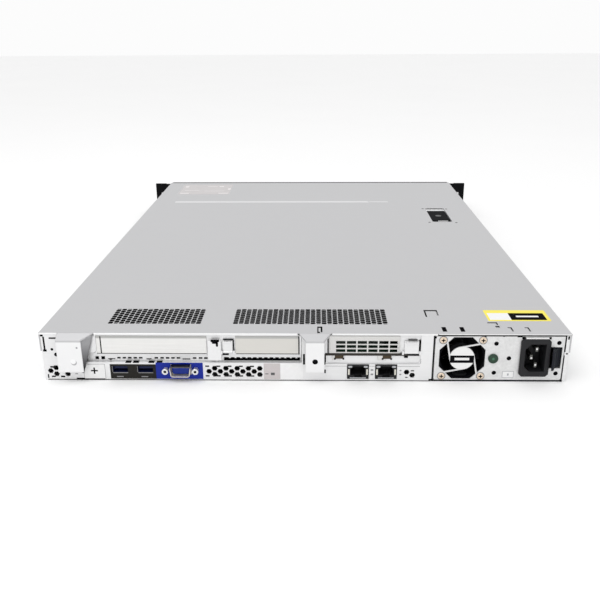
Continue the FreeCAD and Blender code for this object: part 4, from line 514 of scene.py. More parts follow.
# Painted shade: black film on the shelf top behind the strip and under its notches, and in the notches of
# the sill.
SHELF_SHADE = [(-89.0, -291.4, 172.0, 15.0)]
SHELF_SHADE += [((left + right) / 2, -302.0, right - left, 2.9) for left, right in NOTCHES]
placed(plates("shelf_shade", SHELF_SHADE, SHELF_TOP, 0.1, "top", shade_and_true_black, 0.3, 0.03),
       "chassis")
SILL_NOTCHES = [((left + right) / 2, 16.1, right - left, 0.6) for left, right in NOTCHES]
rear_plates("sill_notch_shade", SILL_NOTCHES, 0, 0.1, shade_and_true_black, "chassis", 0.2, 0.03)
RETURNS = [(-176.4, 33.0, 10.4, 16.2), (-2.45, 32.8, 2.1, 16.8)]
rear_plates("window_returns", RETURNS, -0.9, 0.8, rear_metal, "chassis", 2.6, 0.25)


# Main board
# The system board stands on posts over the pan. Its parts are chips, capacitors, chokes, a coin cell
# and fan connectors, soldered between the sockets.
def board_material():
    """Solder mask: two tones of green by a Manhattan Voronoi pattern, whose cells lift like traces."""
    material, tree, shader = new_material("solder_mask", (0.012, 0.09, 0.035), 0.35)
    traces = tree.nodes.new("ShaderNodeTexVoronoi")
    traces.distance = "MANHATTAN"
    traces.inputs["Scale"].default_value = 160
    tree.links.new(object_place(tree), traces.inputs["Vector"])
    cells = traces.outputs["Distance"]
    two_toned(tree, shader, cells, (0.003, 0.016, 0.008), (0.006, 0.034, 0.015))
    lifted(tree, shader, cells, 0.3, 0.0001)
    return material


board_green = board_material()
finish(board_green, "main_board")
chip_black = moulded_material("chip_resin", (0.022, 0.022, 0.024), 0.45, 1500, 0.1)
BOARD_TOP = 4.6
BOARD_EDGE = 299.5
CHIPS = [(-150, -206, 32, 32), (-186, -128, 18, 18), (-122, -112, 14, 14), (-186, -236, 20, 14),
         (100, -243, 16, 16), (118, -196, 24, 24), (-30, -130, 14, 20), (22, -128, 10, 10),
         (66, -150, 16, 8), (124, -122, 12, 12), (-122, -168, 10, 14), (-20, -214, 20, 20)]
# Painted shade: black plates over the board's rear strip and rear edge, so the panel's holes look dark.
BOARD_REAR_SHADE = [(-29.0, -285.0, 352.0, 28.0)]
placed(plates("board_rear_shade", BOARD_REAR_SHADE, BOARD_TOP, 0.12, "top", chip_black, 0.5, 0.04),
       "chassis")
BOARD_EDGE_SHADE = [(-28.5, 3.8, 360.6, 1.5)]
placed(plates("board_edge_shade", BOARD_EDGE_SHADE, BOARD_EDGE, 0.1, "rear", chip_black, 0.3, 0.03),
       "chassis")
placed(plates("board_chips", CHIPS, BOARD_TOP, 1.8, "top", chip_black, 0.6, 0.2), "chassis")
can_metal = plated_material("can_sleeve", (0.45, 0.46, 0.48), 0.3, 0.7, 0.1, 300, 0.05)
CANS = [(x, -56.0) for x in (*range(-168, -94, 9), *range(-6, 66, 9))]
CANS += [(-200.0, y) for y in range(-96, 60, 13)] + [(146.0, y) for y in range(-270, -120, 22)]
CAN = [(0, 0), (3.1, 0), (3.1, 1.2), (2.9, 1.6), (3.1, 2.0), (3.1, 8.2), (2.8, 8.6), (0, 8.6)]
placed(turned("board_capacitors", CANS, BOARD_TOP, CAN, "top", can_metal, 14),
       "chassis")
choke_grey = moulded_material("choke_ferrite", (0.09, 0.09, 0.095), 0.6, 600, 0.3)
CHOKES = [(x, -76.0, 8.5, 8.5) for x in (*range(-166, -94, 12), *range(-4, 66, 12))]
placed(plates("board_chokes", CHOKES, BOARD_TOP, 6.5, "top", choke_grey, 1.2, 0.5),
       "chassis")
ivory_plastic = moulded_material("ivory_moulding", (0.72, 0.70, 0.62), 0.45, 800, 0.1, 0.06)
HEADERS = [(x, 70.0, 12.0, 5.0) for x in (-188, -160, -132, -104, 0, 28, 56)]
placed(plates("fan_headers", HEADERS, BOARD_TOP, 7.0, "top", ivory_plastic, 0.5, 0.3),
       "chassis")
CELL = [(0, 0), (11.0, 0), (11.0, 2.2), (10.0, 2.6), (9.9, 3.0), (9.2, 3.3), (0, 3.3)]
placed(turned("coin_cell", [(-186.0, -178.0)], BOARD_TOP, CELL, "top", bright_metal, 32),
       "chassis")


# Port row
# USB, VGA and network sockets soldered to the board's rear edge, behind printed fields on the panel.
navy_plastic = moulded_material("usb_tongue", (0.008, 0.014, 0.06), 0.4)
black_plastic = moulded_material("black_moulding", (0.016, 0.016, 0.018), 0.40)
finish(navy_plastic, "usb_ports")
shell_metal = plated_material("shell_plating", (0.80, 0.76, 0.68), 0.3, 0.7, 0.08, 300, 0.05)
# Painted shade: above 14.4 mm the shell's plating turns near black, for the shade inside the top of its
# mouth.
shaded_along(shell_metal, "Z", 13.9, 14.4, (0.012, 0.012, 0.014))
finish(shell_metal, "vga_port")
finish(black_plastic, "lan_jacks")
insert_blue = moulded_material("vga_insulator", (0.012, 0.035, 0.30), 0.4)
finish(insert_blue, "vga_insert")
port_label = moulded_material("port_field_print", (0.012, 0.011, 0.009), 0.5, 400, 0.05)
PRINT_THICK = 0.15
USB_FIELD = (-160.9, 1.3, -122.6, 14.6)
USB_WINDOWS = [(-158.6, 7.4, -146.2, 13.0), (-137.6, 7.4, -125.2, 13.0)]
placed(windowed_plate("usb_field", USB_FIELD, USB_WINDOWS, REAR_FACE, PRINT_THICK, "rear", port_label),
       "chassis")
USB_LIPS = [(-152.4, 6.9, 12.6, 0.6), (-131.4, 6.9, 12.6, 0.6), (-159.0, 10.2, 0.4, 5.6),
            (-138.0, 10.2, 0.4, 5.6)]
PORT_BARS = [(-153.0, 3.3, 5.6, 0.9), (-132.4, 3.3, 5.6, 0.9)]
rear_plates("port_bars", PORT_BARS, PRINT_THICK, 0.05, grey_metal, "chassis", 0.15, 0.02)
rear_plates("usb_lips", USB_LIPS, PRINT_THICK, 0.15, grey_metal, "chassis", 0.15, 0.04)
field_blue = mottled_material("vga_field_print", (0.006, 0.020, 0.27), (0.008, 0.026, 0.33), 0.45, 200)
VGA_FIELD = (-122.6, 1.3, -83.4, 16.2)
VGA_WINDOW = (-110.6, 5.2, -93.0, 14.8)
placed(windowed_plate("vga_field", VGA_FIELD, [VGA_WINDOW], REAR_FACE, PRINT_THICK, "rear", field_blue),
       "chassis")
tile_white = mottled_material("tile_print", (0.80, 0.80, 0.80), (0.88, 0.88, 0.88), 0.5, 300)
rear_plates("plus_tile_rim", [(-174.2, 7.9, 18.2, 13.6)], 0, 0.1, grey_metal, "chassis")
rear_plates("plus_tile", [(-174.2, 7.9, 17.6, 13.0)], 0.05, 0.1, tile_white, "chassis")
PLUS = [(-174.3, 8.6, 5.8, 1.2), (-174.3, 8.6, 1.2, 5.8)]
rear_plates("plus_mark", PLUS, PRINT_THICK, 0.05, shade_and_true_black, "chassis", 0.1, 0.02)
label_grey = mottled_material("label_print", (0.54, 0.50, 0.50), (0.60, 0.56, 0.56), 0.5, 300)
rear_plates("port_label", [(-26.1, 8.6, 13.6, 14.4)], 0, PRINT_THICK, label_grey, "chassis")
rear_plates("blank_label", [(-9.6, 8.6, 18.6, 14.2)], 0, PRINT_THICK, tile_white, "chassis")
ink_grey = mottled_material("printed_mark", (0.08, 0.08, 0.085), (0.14, 0.14, 0.14), 0.6, 500)
LABEL_MARKS = [(-25.4, 6.3, 3.2, 2.3), (-30.4, 6.3, 2.8, 0.7)]
rear_plates("port_label_marks", LABEL_MARKS, PRINT_THICK, 0.05, ink_grey, "chassis",
            0.1, 0.02)
JACK_MIDDLES = (45.1, 68.3)
JACK_MARKS = [(56.7, 10.2, 2.2, 1.4), (56.7, 6.2, 2.2, 1.4), (80.2, 9.8, 1.6, 1.2), (80.2, 6.2, 1.6, 1.2)]
rear_plates("jack_marks", JACK_MARKS, 0, 0.08, grey_metal, "chassis", 0.2, 0.02)
JACK_FACE = 304.1
LAMPS = [(middle + side * 7.5, 8.6, 1.3, 5.2) for middle in JACK_MIDDLES for side in (-1, 1)]
placed(plates("jack_light_windows", LAMPS, JACK_FACE, 0.2, "rear", ivory_plastic, 0.3, 0.06),
       "chassis")
CORNERS = [(middle + side * 6.4, 13.4, 3.2, 1.7) for middle in JACK_MIDDLES for side in (-1, 1)]
CORNERS += [(middle, 3.2, 13.5, 0.9) for middle in JACK_MIDDLES]
placed(plates("jack_shield_edges", CORNERS, JACK_FACE, 0.2, "rear", can_metal, 0.5, 0.06),
       "chassis")
NUT = [(0, 0), (2.7, 0), (2.7, 0.5), (2.3, 0.8), (1.3, 0.8), (1.2, 0.3), (0, 0.3)]
NUT_HOLE = [(0, 0.3), (1.15, 0.3), (1.15, 0.45), (0, 0.5)]
JACKSCREWS = [(-114.3, 10.0), (-89.3, 10.0)]
SCREW_LEVEL = 308.0
placed(turned("jackscrew_collars", JACKSCREWS, SCREW_LEVEL, NUT, "rear", bright_metal),
       "chassis")
# Black discs of painted shade in the jackscrews' threaded holes.
placed(turned("jackscrew_hole_shade", JACKSCREWS, SCREW_LEVEL, NUT_HOLE, "rear", shade_and_true_black),
       "chassis")


# Riser cage, slot covers and latches
# The riser hangs in a folded cage whose blank covers close the card slots; a strap holds both covers
# and a small plate latch beside it lets the cage go.
cover_metal = plated_material("cover_plating", (0.79, 0.785, 0.77), 0.40, 0.45, 0.22, 90, 0.2, 0.75)
shaded_along(cover_metal, "X", -80.0, -66.0, (0.66, 0.645, 0.61))
# Painted shadow: the covers' top band, in the shade of the hood's rear edge, turns darker.
shaded_along(cover_metal, "Z", 37.6, 38.6, (0.44, 0.44, 0.43))
finish(rear_metal, "riser_cage", "riser_latch")
CAGE_TOP = 41.5
# Painted shade: a black sheet on the cage top under the left vent field, so the vents look dark.
placed(plates("cage_vent_shade", [(-86.5, -266.5, 164.0, 43.0)], CAGE_TOP, 0.12, "top", shade_and_true_black, 1.0, 0.04),
       "chassis")
finish(cover_metal, "slot_covers")
finish(board_green, "riser_board")
# Painted shade in the gaps round the covers and the riser latch, and the shadow that the middle tab casts
# on the panel.
COVER_LINES = [(-166.7, 32.0, 0.9, 15.4), (-125.0, 24.5, 91.0, 0.5), (-29.8, 24.5, 51.0, 0.5),
               (-3.6, 32.0, 1.0, 16.0), (0.5, 19.7, 1.6, 9.5), (-57.5, 36.9, 0.8, 0.8)]
gap_shade_plates("cover_gap_shadows", COVER_LINES, 0.3, 0.15)
LATCH_GAPS = [(-61.4, 37.2, 8.6, 1.0), (-57.2, 31.6, 0.9, 10.4), (-64.0, 24.2, 5.4, 1.8)]
gap_shade_plates("riser_latch_gap_shade", LATCH_GAPS, 0.4, 0.15)
STRAP_FACE = 304.9
HOOK = [(-72.2, 36.6, 7.0, 2.2), (-70.6, 33.8, 1.8, 4.6), (-72.4, 34.9, 4.4, 1.8)]
# Painted shade in the notch of the strap's hook.
placed(plates("strap_hook_notch_shade", HOOK, STRAP_FACE, 0.12, "rear", shade_and_true_black, 0.5, 0.04),
       "chassis")


# Low-profile slot
# A ventilated blank cover held by its own plate latch, over a dark seal with two hooked feet.
low_cover_metal = plated_material("low_cover_plating", (0.66, 0.655, 0.64), 0.40, 0.45, 0.22, 90, 0.2, 0.75)
finish(low_cover_metal, "low_slot_cover")
finish(rear_metal, "low_slot_latch")
seal_brown = moulded_material("slot_seal", (0.030, 0.026, 0.022), 0.55)
rear_plates("slot_seal", [(51.6, 24.3, 67.6, 2.2)], 0, 0.2, seal_brown, "chassis",
            0.3, 0.06)
foot_brown = moulded_material("slot_foot", (0.055, 0.040, 0.022), 0.5)
SLOT_FEET = [(29.4, 21.9, 7.0, 3.0), (68.6, 21.9, 7.0, 3.0)]
rear_plates("slot_feet", SLOT_FEET, 0, 0.25, foot_brown, "chassis", 0.4, 0.06)
# Painted shade at the feet's corners and in the gaps round the latch plate, and the middle tab's shadow on
# the panel.
FOOT_CORNERS = [(x + side * 3.5, 20.4, 1.4, 1.6) for x, _, _, _ in SLOT_FEET for side in (-1, 1)]
rear_plates("slot_foot_corner_shade", FOOT_CORNERS, 0.25, 0.1, shade_and_true_black, "chassis", 0.3, 0.03)
PLATE_GAPS = [(89.2, 37.4, 7.6, 0.9), (95.2, 30.8, 1.5, 13.0), (88.4, 24.0, 13.6, 1.6),
              (84.2, 22.5, 3.2, 2.4), (20.2, 31.0, 1.0, 14.5), (17.7, 19.7, 1.1, 9.5)]
gap_shade_plates("low_latch_gap_shadows", PLATE_GAPS, 0.4, 0.15)


# Processors, coolers and memory
# Nickel-plated lids under finned aluminium coolers, and memory modules in rows of long sockets.
aluminium = plated_material("cooler_aluminium", (0.72, 0.73, 0.74), 0.35, 0.8, 0.08, 200, 0.1)
finish(aluminium, "coolers")
finish(bright_metal, "processors")
finish(black_plastic, "board_sockets")
finish(board_green, "memory_modules")
MODULE_FACES = (-62.5, -34.3, 99.5, 127.7)
MEMORY_CHIPS = [(-54.0 + 14.6 * step, 25.0, 10.0, 12.0) for step in range(9)]
for number, face in enumerate(MODULE_FACES, 1):
    placed(plates(f"module_{number}_chips", MEMORY_CHIPS, face, 0.9, "right", chip_black, 0.3, 0.1),
           "chassis")


# Fans and air baffle
# Five framed axial fans in a row behind the fan wall, and a moulded baffle over the memory.
dark_plastic = moulded_material("dark_moulding", (0.045, 0.045, 0.05), 0.5)
finish(black_plastic, "fan_frames", "air_baffle")
finish(dark_plastic, *[f"fan_rotor_{number}" for number in range(1, 6)])


# Power supply
# A sliding supply: a plate with a speckled zinc finish, an octagonal fan guard, four fan screws,
# a status lamp, an inlet with a metal lip, and a spring latch beside it.
finish(shade_and_true_black, "psu_fan_frame")
finish(black_plastic, "psu_fan_rotor", "mains_inlet")
finish(board_green, "supply_board", "psu_board")
supply_metal = plated_material("supply_plating", (0.72, 0.72, 0.72), 0.42, 0.4, 0.45, 420, 0.25, 0.1)
finish(supply_metal, "psu_case")
CONTACT_TIP = -303.5
# Painted shade: the contacts are darker than their metal, and darker still deeper in the inlet; the glints
# on their tips are painted highlights.
shaded_contact_metal = plated_material("contact_painted_shade", (0.13, 0.13, 0.12), 0.45, 0.4, 0.05, 400, 0.05)
shaded_along(shaded_contact_metal, "Y", CONTACT_TIP + 0.1, CONTACT_TIP + 0.9, (0.03, 0.03, 0.028))
finish(shaded_contact_metal, "inlet_contacts")
CONTACT_GLINTS = [(190.2, 29.6, 1.6, 1.5), (186.4, 21.6, 1.6, 1.5), (190.2, 15.4, 1.6, 1.5)]
rear_plates("contact_glints", CONTACT_GLINTS, 0, 0.1, bright_metal, "power_supply",
            0.3, 0.03)
release_navy = moulded_material("release_moulding", (0.006, 0.008, 0.013), 0.5)
finish(release_navy, "psu_release")
GUARD = (130.0, 21.2)
GUARD_SCREWS = [(GUARD[0] + 16.1 * side, GUARD[1] + 16.1 * level) for side in (-1, 1) for level in (-1, 1)]
screw_cream = plated_material("screw_plating", (0.80, 0.66, 0.52), 0.3, 0.6, 0.1, 300, 0.05)
SCREW = [(0, 0), (2.9, 0), (2.9, 0.25), (2.5, 0.6), (1.6, 0.85), (0, 0.9)]
SCREW_SHADE = [(0, 0), (3.5, 0), (3.5, 0.1), (3.4, 0.14), (0, 0.14)]
# Painted shade: grey rings round the fan screws' heads.
placed(turned("fan_screw_shade_rings", GUARD_SCREWS, REAR_FACE, SCREW_SHADE, "rear", grey_metal, 24),
       "power_supply")
CASE_HOLES = [(157.0, 34.3), (157.0, 8.1), (168.2, 21.2), (207.6, 35.1), (207.6, 7.7)]
HOLE_SHADE = [(0, 0), (1.85, 0), (1.85, 0.1), (0, 0.14)]
placed(turned("case_hole_shades", CASE_HOLES, REAR_FACE - 0.3, HOLE_SHADE, "rear", shade_and_true_black),
       "power_supply")
placed(turned("fan_screws", GUARD_SCREWS, REAR_FACE, SCREW, "rear", screw_cream, 24),
       "power_supply")
# Painted shade in the screws' cross recesses.
CROSSES = [(x, z, width, height) for x, z in GUARD_SCREWS for width, height in ((3.2, 0.9), (0.9, 3.2))]
rear_plates("fan_screw_cross_shade", CROSSES, 0.86, 0.08, shade_and_true_black, "power_supply", 0.1, 0.02)
disc_white = mottled_material("disc_print", (0.80, 0.80, 0.79), (0.87, 0.87, 0.86), 0.45, 300)
DISC = [(0, 0), (10.0, 0), (10.0, 0.15), (9.9, 0.2), (0, 0.2)]
placed(turned("guard_disc", [GUARD], REAR_FACE, DISC, "rear", disc_white, 48, smooth=False),
       "power_supply")
rear_plates("guard_disc_band", [(GUARD[0], 20.4, 19.6, 6.6)], 0.2, 0.08, shade_and_true_black, "power_supply",
            0.2, 0.02)
rear_plates("band_bar", [(129.9, 20.6, 12.0, 2.2)], 0.28, 0.05, disc_white, "power_supply",
            0.2, 0.02)
rear_plates("supply_label_rim", [(168.6, 6.6, 9.6, 6.0)], 0, 0.08, can_metal, "power_supply")
rear_plates("supply_label", [(168.6, 6.6, 8.8, 5.2)], 0.04, 0.08, tile_white, "power_supply")
rear_plates("supply_label_mark", [(168.6, 6.6, 1.4, 2.0)], 0.12, 0.05, can_metal, "power_supply")
rear_plates("inlet_lip", [(189.5, 39.4, 18.6, 1.5)], 0, 1.6, bright_metal, "power_supply",
            0.4, 0.2)
# Painted shade in the gaps round the inlet's lip.
LIP_GAPS = [(178.7, 39.3, 2.8, 2.2), (200.0, 39.3, 2.0, 2.0), (189.4, 38.3, 18.0, 0.7)]
gap_shade_plates("inlet_lip_gap_shade", LIP_GAPS, 0.4, body="power_supply")


LAMP_TIP = (155.3, -304.7, 21.1)
LAMP_RADIUS = 4.1


def lamp_material():
    """A green light guide: resin that looks lighter towards its middle."""
    material, tree, shader = new_material("lamp_resin", (0.01, 0.10, 0.035), 0.25)
    place = object_place(tree)
    centre = tree.nodes.new("ShaderNodeMapping")
    centre.inputs["Location"].default_value = [-measure * MM for measure in LAMP_TIP]
    tree.links.new(place, centre.inputs["Vector"])
    reach = tree.nodes.new("ShaderNodeVectorMath")
    reach.operation = "LENGTH"
    tree.links.new(centre.outputs["Vector"], reach.inputs[0])
    tone = tree.nodes.new("ShaderNodeMapRange")
    tone.inputs["From Max"].default_value = LAMP_RADIUS * MM
    tree.links.new(reach.outputs["Value"], tone.inputs["Value"])
    ramp = tree.nodes.new("ShaderNodeValToRGB")
    ramp.color_ramp.elements[0].color = (0.06, 0.24, 0.12, 1)
    ramp.color_ramp.elements[1].color = (0.004, 0.034, 0.014, 1)
    ramp.color_ramp.elements[1].position = 0.35
    tree.links.new(tone.outputs["Result"], ramp.inputs["Fac"])
    tree.links.new(ramp.outputs["Color"], shader.inputs["Base Color"])
    grains = tree.nodes.new("ShaderNodeTexNoise")
    grains.inputs["Scale"].default_value = 900
    tree.links.new(place, grains.inputs["Vector"])
    lifted(tree, shader, grains.outputs["Fac"], 0.1, 0.0001)
    return material


finish(lamp_material(), "psu_lamp")


# Drives, carriers, control panel and ears
# Four drives in black carriers behind hinged levers, the moulded control strip over them with two
# grey buttons, and the painted rack ears.
drive_metal = plated_material("drive_casting", (0.42, 0.43, 0.45), 0.45, 0.6, 0.15, 200, 0.3)
finish(drive_metal, *[f"drive_{number}" for number in range(1, 5)])
finish(black_plastic, "control_panel", *[f"carrier_{number}" for number in range(1, 5)])
finish(dark_plastic, *[f"carrier_lever_{number}" for number in range(1, 5)])
finish(board_green, "drive_backplane")
finish(moulded_material("button_moulding", (0.28, 0.28, 0.29), 0.4), "power_button", "locator_button")
ear_paint = moulded_material("ear_powder_coat", (0.005, 0.005, 0.006), 0.5, 1200, 0.3, gloss=0.06)
finish(ear_paint, "rack_ear_left", "rack_ear_right")
EAR_BACK = -292.5
EAR_BACKINGS = [(side * 232.55, 36.9, 17.2, 11.6) for side in (-1, 1)]
placed(plates("ear_slot_backings", EAR_BACKINGS, EAR_BACK, 0.3, "rear", ear_paint, 1.0, 0.1),
       "chassis")
EAR_STEPS = [(side * 230.8, 25.0, 4.6, 6.2) for side in (-1, 1)]
placed(plates("ear_steps", EAR_STEPS, EAR_BACK, 0.3, "rear", tile_white, 0.6, 0.1), "chassis")


# Hood
# The lift-off hood: one sheet, punched with two fields of hexagonal vents, key slots and lanced tabs,
# and pressed with a shallow bead, drawn as a strip of painted highlight. It is folded down at both sides
# and into two tabs at the rear.
HOOD_TONE = (0.545, 0.545, 0.555)
hood_metal = plated_material("hood_plating", HOOD_TONE, 0.42, 0.5, 0.05, 45, 0.05, 0.6)
# Painted shade: below its top face the sheet turns near black, on its hole walls and underside, so the
# vents look dark.
shaded_along(hood_metal, "Z", 42.62, 42.5, (0.006, 0.006, 0.006))
flange_metal = plated_material("flange_plating", HOOD_TONE, 0.42, 0.5, 0.05, 45, 0.05, 0.6)
# Painted light: the tabs' rear faces are lighter than the hood's tone, which comes back above their folds.
# The spots paint a dimple's shade and highlight and a small hole's shade on the left tab.
shaded_along(flange_metal, "Y", -309.6, -310.2, (0.84, 0.84, 0.845))
shaded_along(flange_metal, "Z", 37.0, 37.5, HOOD_TONE)
spotted(flange_metal, -188.2, 19.1, 2.4, (0.40, 0.40, 0.41))
spotted(flange_metal, -188.7, 20.0, 2.2, (0.90, 0.90, 0.905))
spotted(flange_metal, -184.5, 32.4, 0.8, (0.30, 0.30, 0.31))
finish(flange_metal, "hood_flanges")
HOOD_TOP = 42.65
HOOD_GAUGE = 0.85
HOOD_SIDE = 217.3
HOOD_FRONT = 296.5
VENT_PITCH = 4.66
VENT_ROW = 4.62
VENT_ROWS = 7
VENT_BOTTOM = -281.1 - VENT_ROW / 2
VENT_TOP = VENT_BOTTOM + (VENT_ROWS + 0.5) * VENT_ROW
VENT_FIELDS = [(-163.3 - VENT_PITCH / 2, 17), (-57.4 - VENT_PITCH / 2, 28)]
VENT_REACH = 2.27
VENT_HALF = 2.12
VENT_FLAT = 1.62
HALF_HOLE = (VENT_REACH * 0.72, VENT_HALF * 0.40)


def holed(border, hole):
    """Quads between a tile's border and the outline of the hole in it."""
    return np.stack([border, np.roll(border, -1, axis=0), np.roll(hole, -1, axis=0), hole], axis=1)


def vent_field(start, columns):
    """Tiles of a vent field: each is six quads from a rectangle's corners and side middles to a
    hexagon. Odd columns stand half a row higher, and half tiles with half a hole fill their ends."""
    column, row = (grid.ravel() for grid in np.meshgrid(np.arange(columns), np.arange(VENT_ROWS)))
    middle = np.stack([start + (column + 0.5) * VENT_PITCH,
                       VENT_BOTTOM + (row + 0.5 + 0.5 * (column % 2)) * VENT_ROW], axis=1)
    half_tile = np.array((VENT_PITCH, VENT_ROW)) / 2
    border = np.array([(-1, -1), (1, -1), (1, 0), (1, 1), (-1, 1), (-1, 0)]) * half_tile
    hexagon = np.array([(-VENT_FLAT, -VENT_HALF), (VENT_FLAT, -VENT_HALF), (VENT_REACH, 0),
                        (VENT_FLAT, VENT_HALF), (-VENT_FLAT, VENT_HALF), (-VENT_REACH, 0)])
    tiles = (middle[:, None, None, :] + holed(border, hexagon)).reshape(-1, 4, 2)
    number = np.arange(columns)
    low = np.where(number % 2 == 0, VENT_TOP - VENT_ROW / 2, VENT_BOTTOM)
    centre = np.stack([start + (number + 0.5) * VENT_PITCH, low + VENT_ROW / 4], axis=1)
    square = np.array([(-1, -1), (1, -1), (1, 1), (-1, 1)])
    half_border = square * (VENT_PITCH / 2, VENT_ROW / 4)
    half_hole = square * HALF_HOLE
    fillers = (centre[:, None, None, :] + holed(half_border, half_hole)).reshape(-1, 4, 2)
    return np.vstack([tiles, fillers])


RECESS = (157.4, 55.5, 182.0, 124.5)
KEY_SLOTS = [(114.0, -298.5, 117.6, -288.6), (128.7, -298.5, 132.3, -288.6)]
LANCES = [(104.4, -253.0, 116.0, -250.2), (104.4, -266.4, 105.7, -253.0), (114.7, -263.0, 116.0, -253.0),
          (154.0, -280.2, 162.2, -278.2), (161.0, -284.0, 162.2, -280.2),
          (159.0, -289.4, 162.4, -286.0), (168.4, -290.6, 171.8, -289.0), (170.5, -297.6, 171.8, -290.6),
          (182.4, -290.6, 185.8, -289.0), (184.5, -297.6, 185.8, -290.6),
          (11.4, -291.4, 15.6, -288.4), (11.4, -302.4, 12.4, -291.4), (14.2, -300.4, 15.6, -291.4),
          (12.4, -302.4, 13.6, -299.4)]
hood_openings = [RECESS, *KEY_SLOTS, *LANCES]
across_breaks = [-HOOD_SIDE, HOOD_SIDE]
up_breaks = [-REAR_FACE, HOOD_FRONT]
up_breaks += [VENT_BOTTOM + number * VENT_ROW / 2 for number in range(2 * VENT_ROWS + 2)]
for opening in hood_openings:
    across_breaks += [opening[0], opening[2]]
    up_breaks += [opening[1], opening[3]]
for start, columns in VENT_FIELDS:
    across_breaks += [start + number * VENT_PITCH for number in range(columns + 1)]
    hood_openings.append((start, VENT_BOTTOM, start + columns * VENT_PITCH, VENT_TOP))
sheet_cells = plan_cells(across_breaks, up_breaks, hood_openings)
hood_cells = np.vstack([sheet_cells] + [vent_field(start, columns) for start, columns in VENT_FIELDS])
hood_sheet = plan_sheet("hood_sheet", hood_cells, HOOD_TOP - HOOD_GAUGE, HOOD_TOP, "top", hood_metal)
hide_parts("hood")
placed(hood_sheet, "hood")


def hood_plates(name, places, rise, thick, material, corner, bevel):
    """Plates that lie on the hood, rise mm above its top."""
    placed(plates(name, places, HOOD_TOP + rise, thick, "top", material, corner, bevel), "hood")


hood_plates("key_slot_shade", [(123.15, -293.55, 20.6, 12.2)], -HOOD_GAUGE - 0.11, 0.1, shade_and_true_black,
            1.0, 0.03)
# Painted highlight: the hood's rolled rear edge, in a tone much lighter than the hood.
HEM_HIGHLIGHTS = [(-209.4, 42.0, 15.6, 1.5), (-88.2, 42.0, 167.4, 1.5), (66.4, 42.0, 86.0, 1.5),
        (163.4, 42.3, 107.0, 0.7)]
hem_highlight_metal = plated_material("hem_painted_highlight", (0.86, 0.86, 0.86), 0.3, 0.3, 0.05, 60, 0.05)
rear_plates("hood_hem_highlight", HEM_HIGHLIGHTS, 0, 0.6, hem_highlight_metal, "hood", 0.7, 0.25)
# Painted highlight: the bead is a thin strip lighter than the hood.
bead_highlight_metal = plated_material("bead_painted_highlight", (0.76, 0.76, 0.77), 0.4, 0.3, 0.05, 45, 0.05)
BEAD_HIGHLIGHTS = [(-52.0, 164.5, 272.0, 7.5), (97.0, 164.5, 28.0, 4.0)]
hood_plates("hood_bead_highlight", BEAD_HIGHLIGHTS, 0, 0.08, bead_highlight_metal, 1.2, 0.05)
dark_edge_black = mottled_material("edge_shadow", (0.07, 0.07, 0.07), (0.10, 0.10, 0.10), 0.6, 500)
FRONT_EDGES = [(-30.0, 295.6, 373.0, 1.7), (187.0, 295.6, 59.0, 1.7)]
hood_plates("hood_front_edge", FRONT_EDGES, 0, 0.05, dark_edge_black, 0.2, 0.03)


def fold_web(name, corners, bulge, thick, material, steps=8):
    """A thin curved web between the hood and a tab: bilinear between four corners, pushed out along Y
    by the bulge times the product of two half sine waves, with a back wall one gauge behind."""
    share = np.linspace(0, 1, steps)
    s, t = (grid.ravel()[:, None] for grid in np.meshgrid(share, share))
    low_left, low_right, top_right, top_left = (np.array(corner, float) for corner in corners)
    front = (1 - t) * ((1 - s) * low_left + s * low_right) + t * ((1 - s) * top_left + s * top_right)
    front = front + np.sin(math.pi * s) * np.sin(math.pi * t) * np.array((0, bulge, 0))
    back = front + np.array((0, thick, 0))
    quads = grid_quads(steps, steps)
    count = len(front)
    rim = rim_edges(quads)
    walls = np.stack([rim[:, 0] + count, rim[:, 1] + count, rim[:, 1], rim[:, 0]], axis=1)
    faces = np.vstack([quads, quads[:, ::-1] + count, walls]).tolist()
    return mesh_piece(name, np.vstack([front, back]), faces, material, smooth=True)


# Painted shade: the web between the left tab and the hood is a darker copy of the hood's plating, darkening
# towards its bottom.
shaded_web_metal = plated_material("web_painted_shade", (0.32, 0.32, 0.33), 0.4, 0.6, 0.1, 100, 0.1)
shaded_along(shaded_web_metal, "Z", 34.0, 14.0, (0.03, 0.03, 0.033))
LEFT_WEB = [(-183.2, -310.45, 10.4), (-181.4, -308.6, 8.7), (-172.2, -304.2, 41.4), (-183.2, -310.45, 38.6)]
placed(fold_web("left_tab_web", LEFT_WEB, 0.5, 0.4, shaded_web_metal), "hood")
TAB_FACE = 310.2
TAB_HOLE = [(0, 0), (2.3, 0), (2.2, 0.12), (0, 0.14)]
placed(turned("tab_hole_shade", [(9.7, 20.6)], TAB_FACE, TAB_HOLE, "rear", shade_and_true_black),
       "hood")


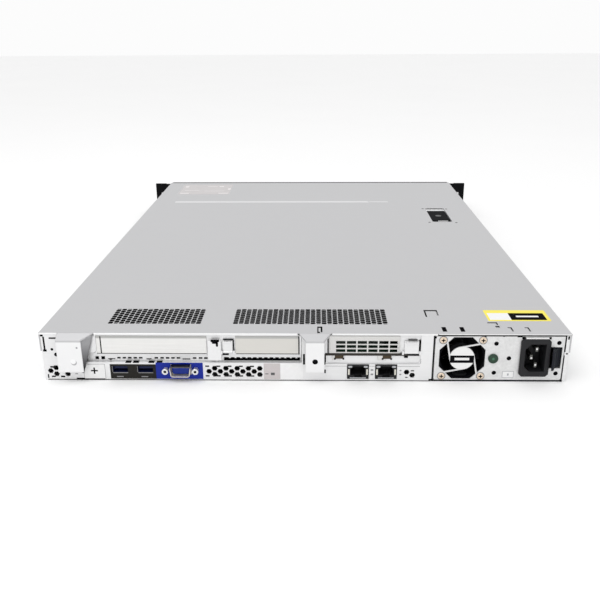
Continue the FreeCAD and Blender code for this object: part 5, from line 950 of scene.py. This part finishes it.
# Hood latch
# A black lever lies in a pressed dish; a coin-slot lock in its middle keeps it shut. Rivets hold the dish.
finish(rear_metal, "latch_dish")
finish(bright_metal, "latch_pin")
lever_black = moulded_material("lever_moulding", (0.010, 0.010, 0.011), 0.8, gloss=0.05)
finish(lever_black, "latch_lever")
lock_grey = plated_material("lock_plating", (0.10, 0.10, 0.10), 0.5, 0.5, 0.1, 300, 0.05)
finish(lock_grey, "latch_screw")
RIVETS = [(153.8, 123.8), (185.1, 122.3), (152.9, 52.0), (186.2, 50.4)]
RIVET = [(0, 0), (1.6, 0), (1.6, 0.06), (1.2, 0.12), (0, 0.12)]
placed(turned("latch_rivets", RIVETS, HOOD_TOP, RIVET, "top", dark_edge_black, 16), "hood")
# A painted highlight along the dish's rear lip.
hood_plates("dish_lip", [(171.0, 58.3, 13.0, 2.2)], -0.25, 0.3, hem_highlight_metal, 1.6, 0.1)
# Painted shade along the dish's front and rear edges.
hood_plates("dish_edges", [(169.6, 125.2, 20.0, 0.9), (170.2, 54.9, 22.0, 0.9)], 0, 0.06, dark_edge_black,
            0.3, 0.03)


# Labels of the hood
# A yellow label with a pale panel and a black field, left bare of words, and a clear sticker at the front.
LABEL_THICK = 0.08
label_yellow = mottled_material("yellow_print", (0.88, 0.76, 0.08), (0.93, 0.80, 0.11), 0.45, 150)
hood_plates("yellow_label", [(182.5, -262.8, 53.0, 25.0)], 0, LABEL_THICK, label_yellow,
            1.0, 0.03)
hood_plates("label_pale_panel", [(167.0, -265.2, 18.0, 15.6)], LABEL_THICK, 0.04, tile_white,
            0.3, 0.02)
hood_plates("label_black_field", [(191.0, -265.2, 30.0, 15.6)], LABEL_THICK, 0.03, shade_and_true_black,
            0.3, 0.02)
hood_plates("label_bar", [(191.0, -265.0, 19.0, 3.2)], LABEL_THICK + 0.03, 0.02, tile_white,
            0.2, 0.01)
clear_film = mottled_material("clear_film", (0.50, 0.47, 0.47), (0.56, 0.535, 0.535), 0.25, 60)
hood_plates("clear_sticker", [(-155.5, 247.0, 75.0, 67.0)], 0, 0.05, clear_film, 1.5, 0.02)
# Painted reflections: light glints and lines on the clear sticker.
film_light = mottled_material("film_reflection", (0.70, 0.67, 0.67), (0.86, 0.83, 0.83), 0.25, 90)
STICKER_GLINTS = [(-187.0, 266.0, 5.0, 9.0), (-134.5, 268.5, 7.0, 6.0), (-120.8, 250.0, 4.0, 10.0),
           (-184.0, 220.0, 13.0, 4.0), (-126.5, 221.0, 16.0, 4.0), (-148.0, 268.0, 16.0, 2.0),
           (-176.0, 240.0, 22.0, 1.6), (-142.0, 236.0, 30.0, 1.6)]
hood_plates("sticker_glints", STICKER_GLINTS, 0.05, 0.02, film_light, 1.4, 0.01)
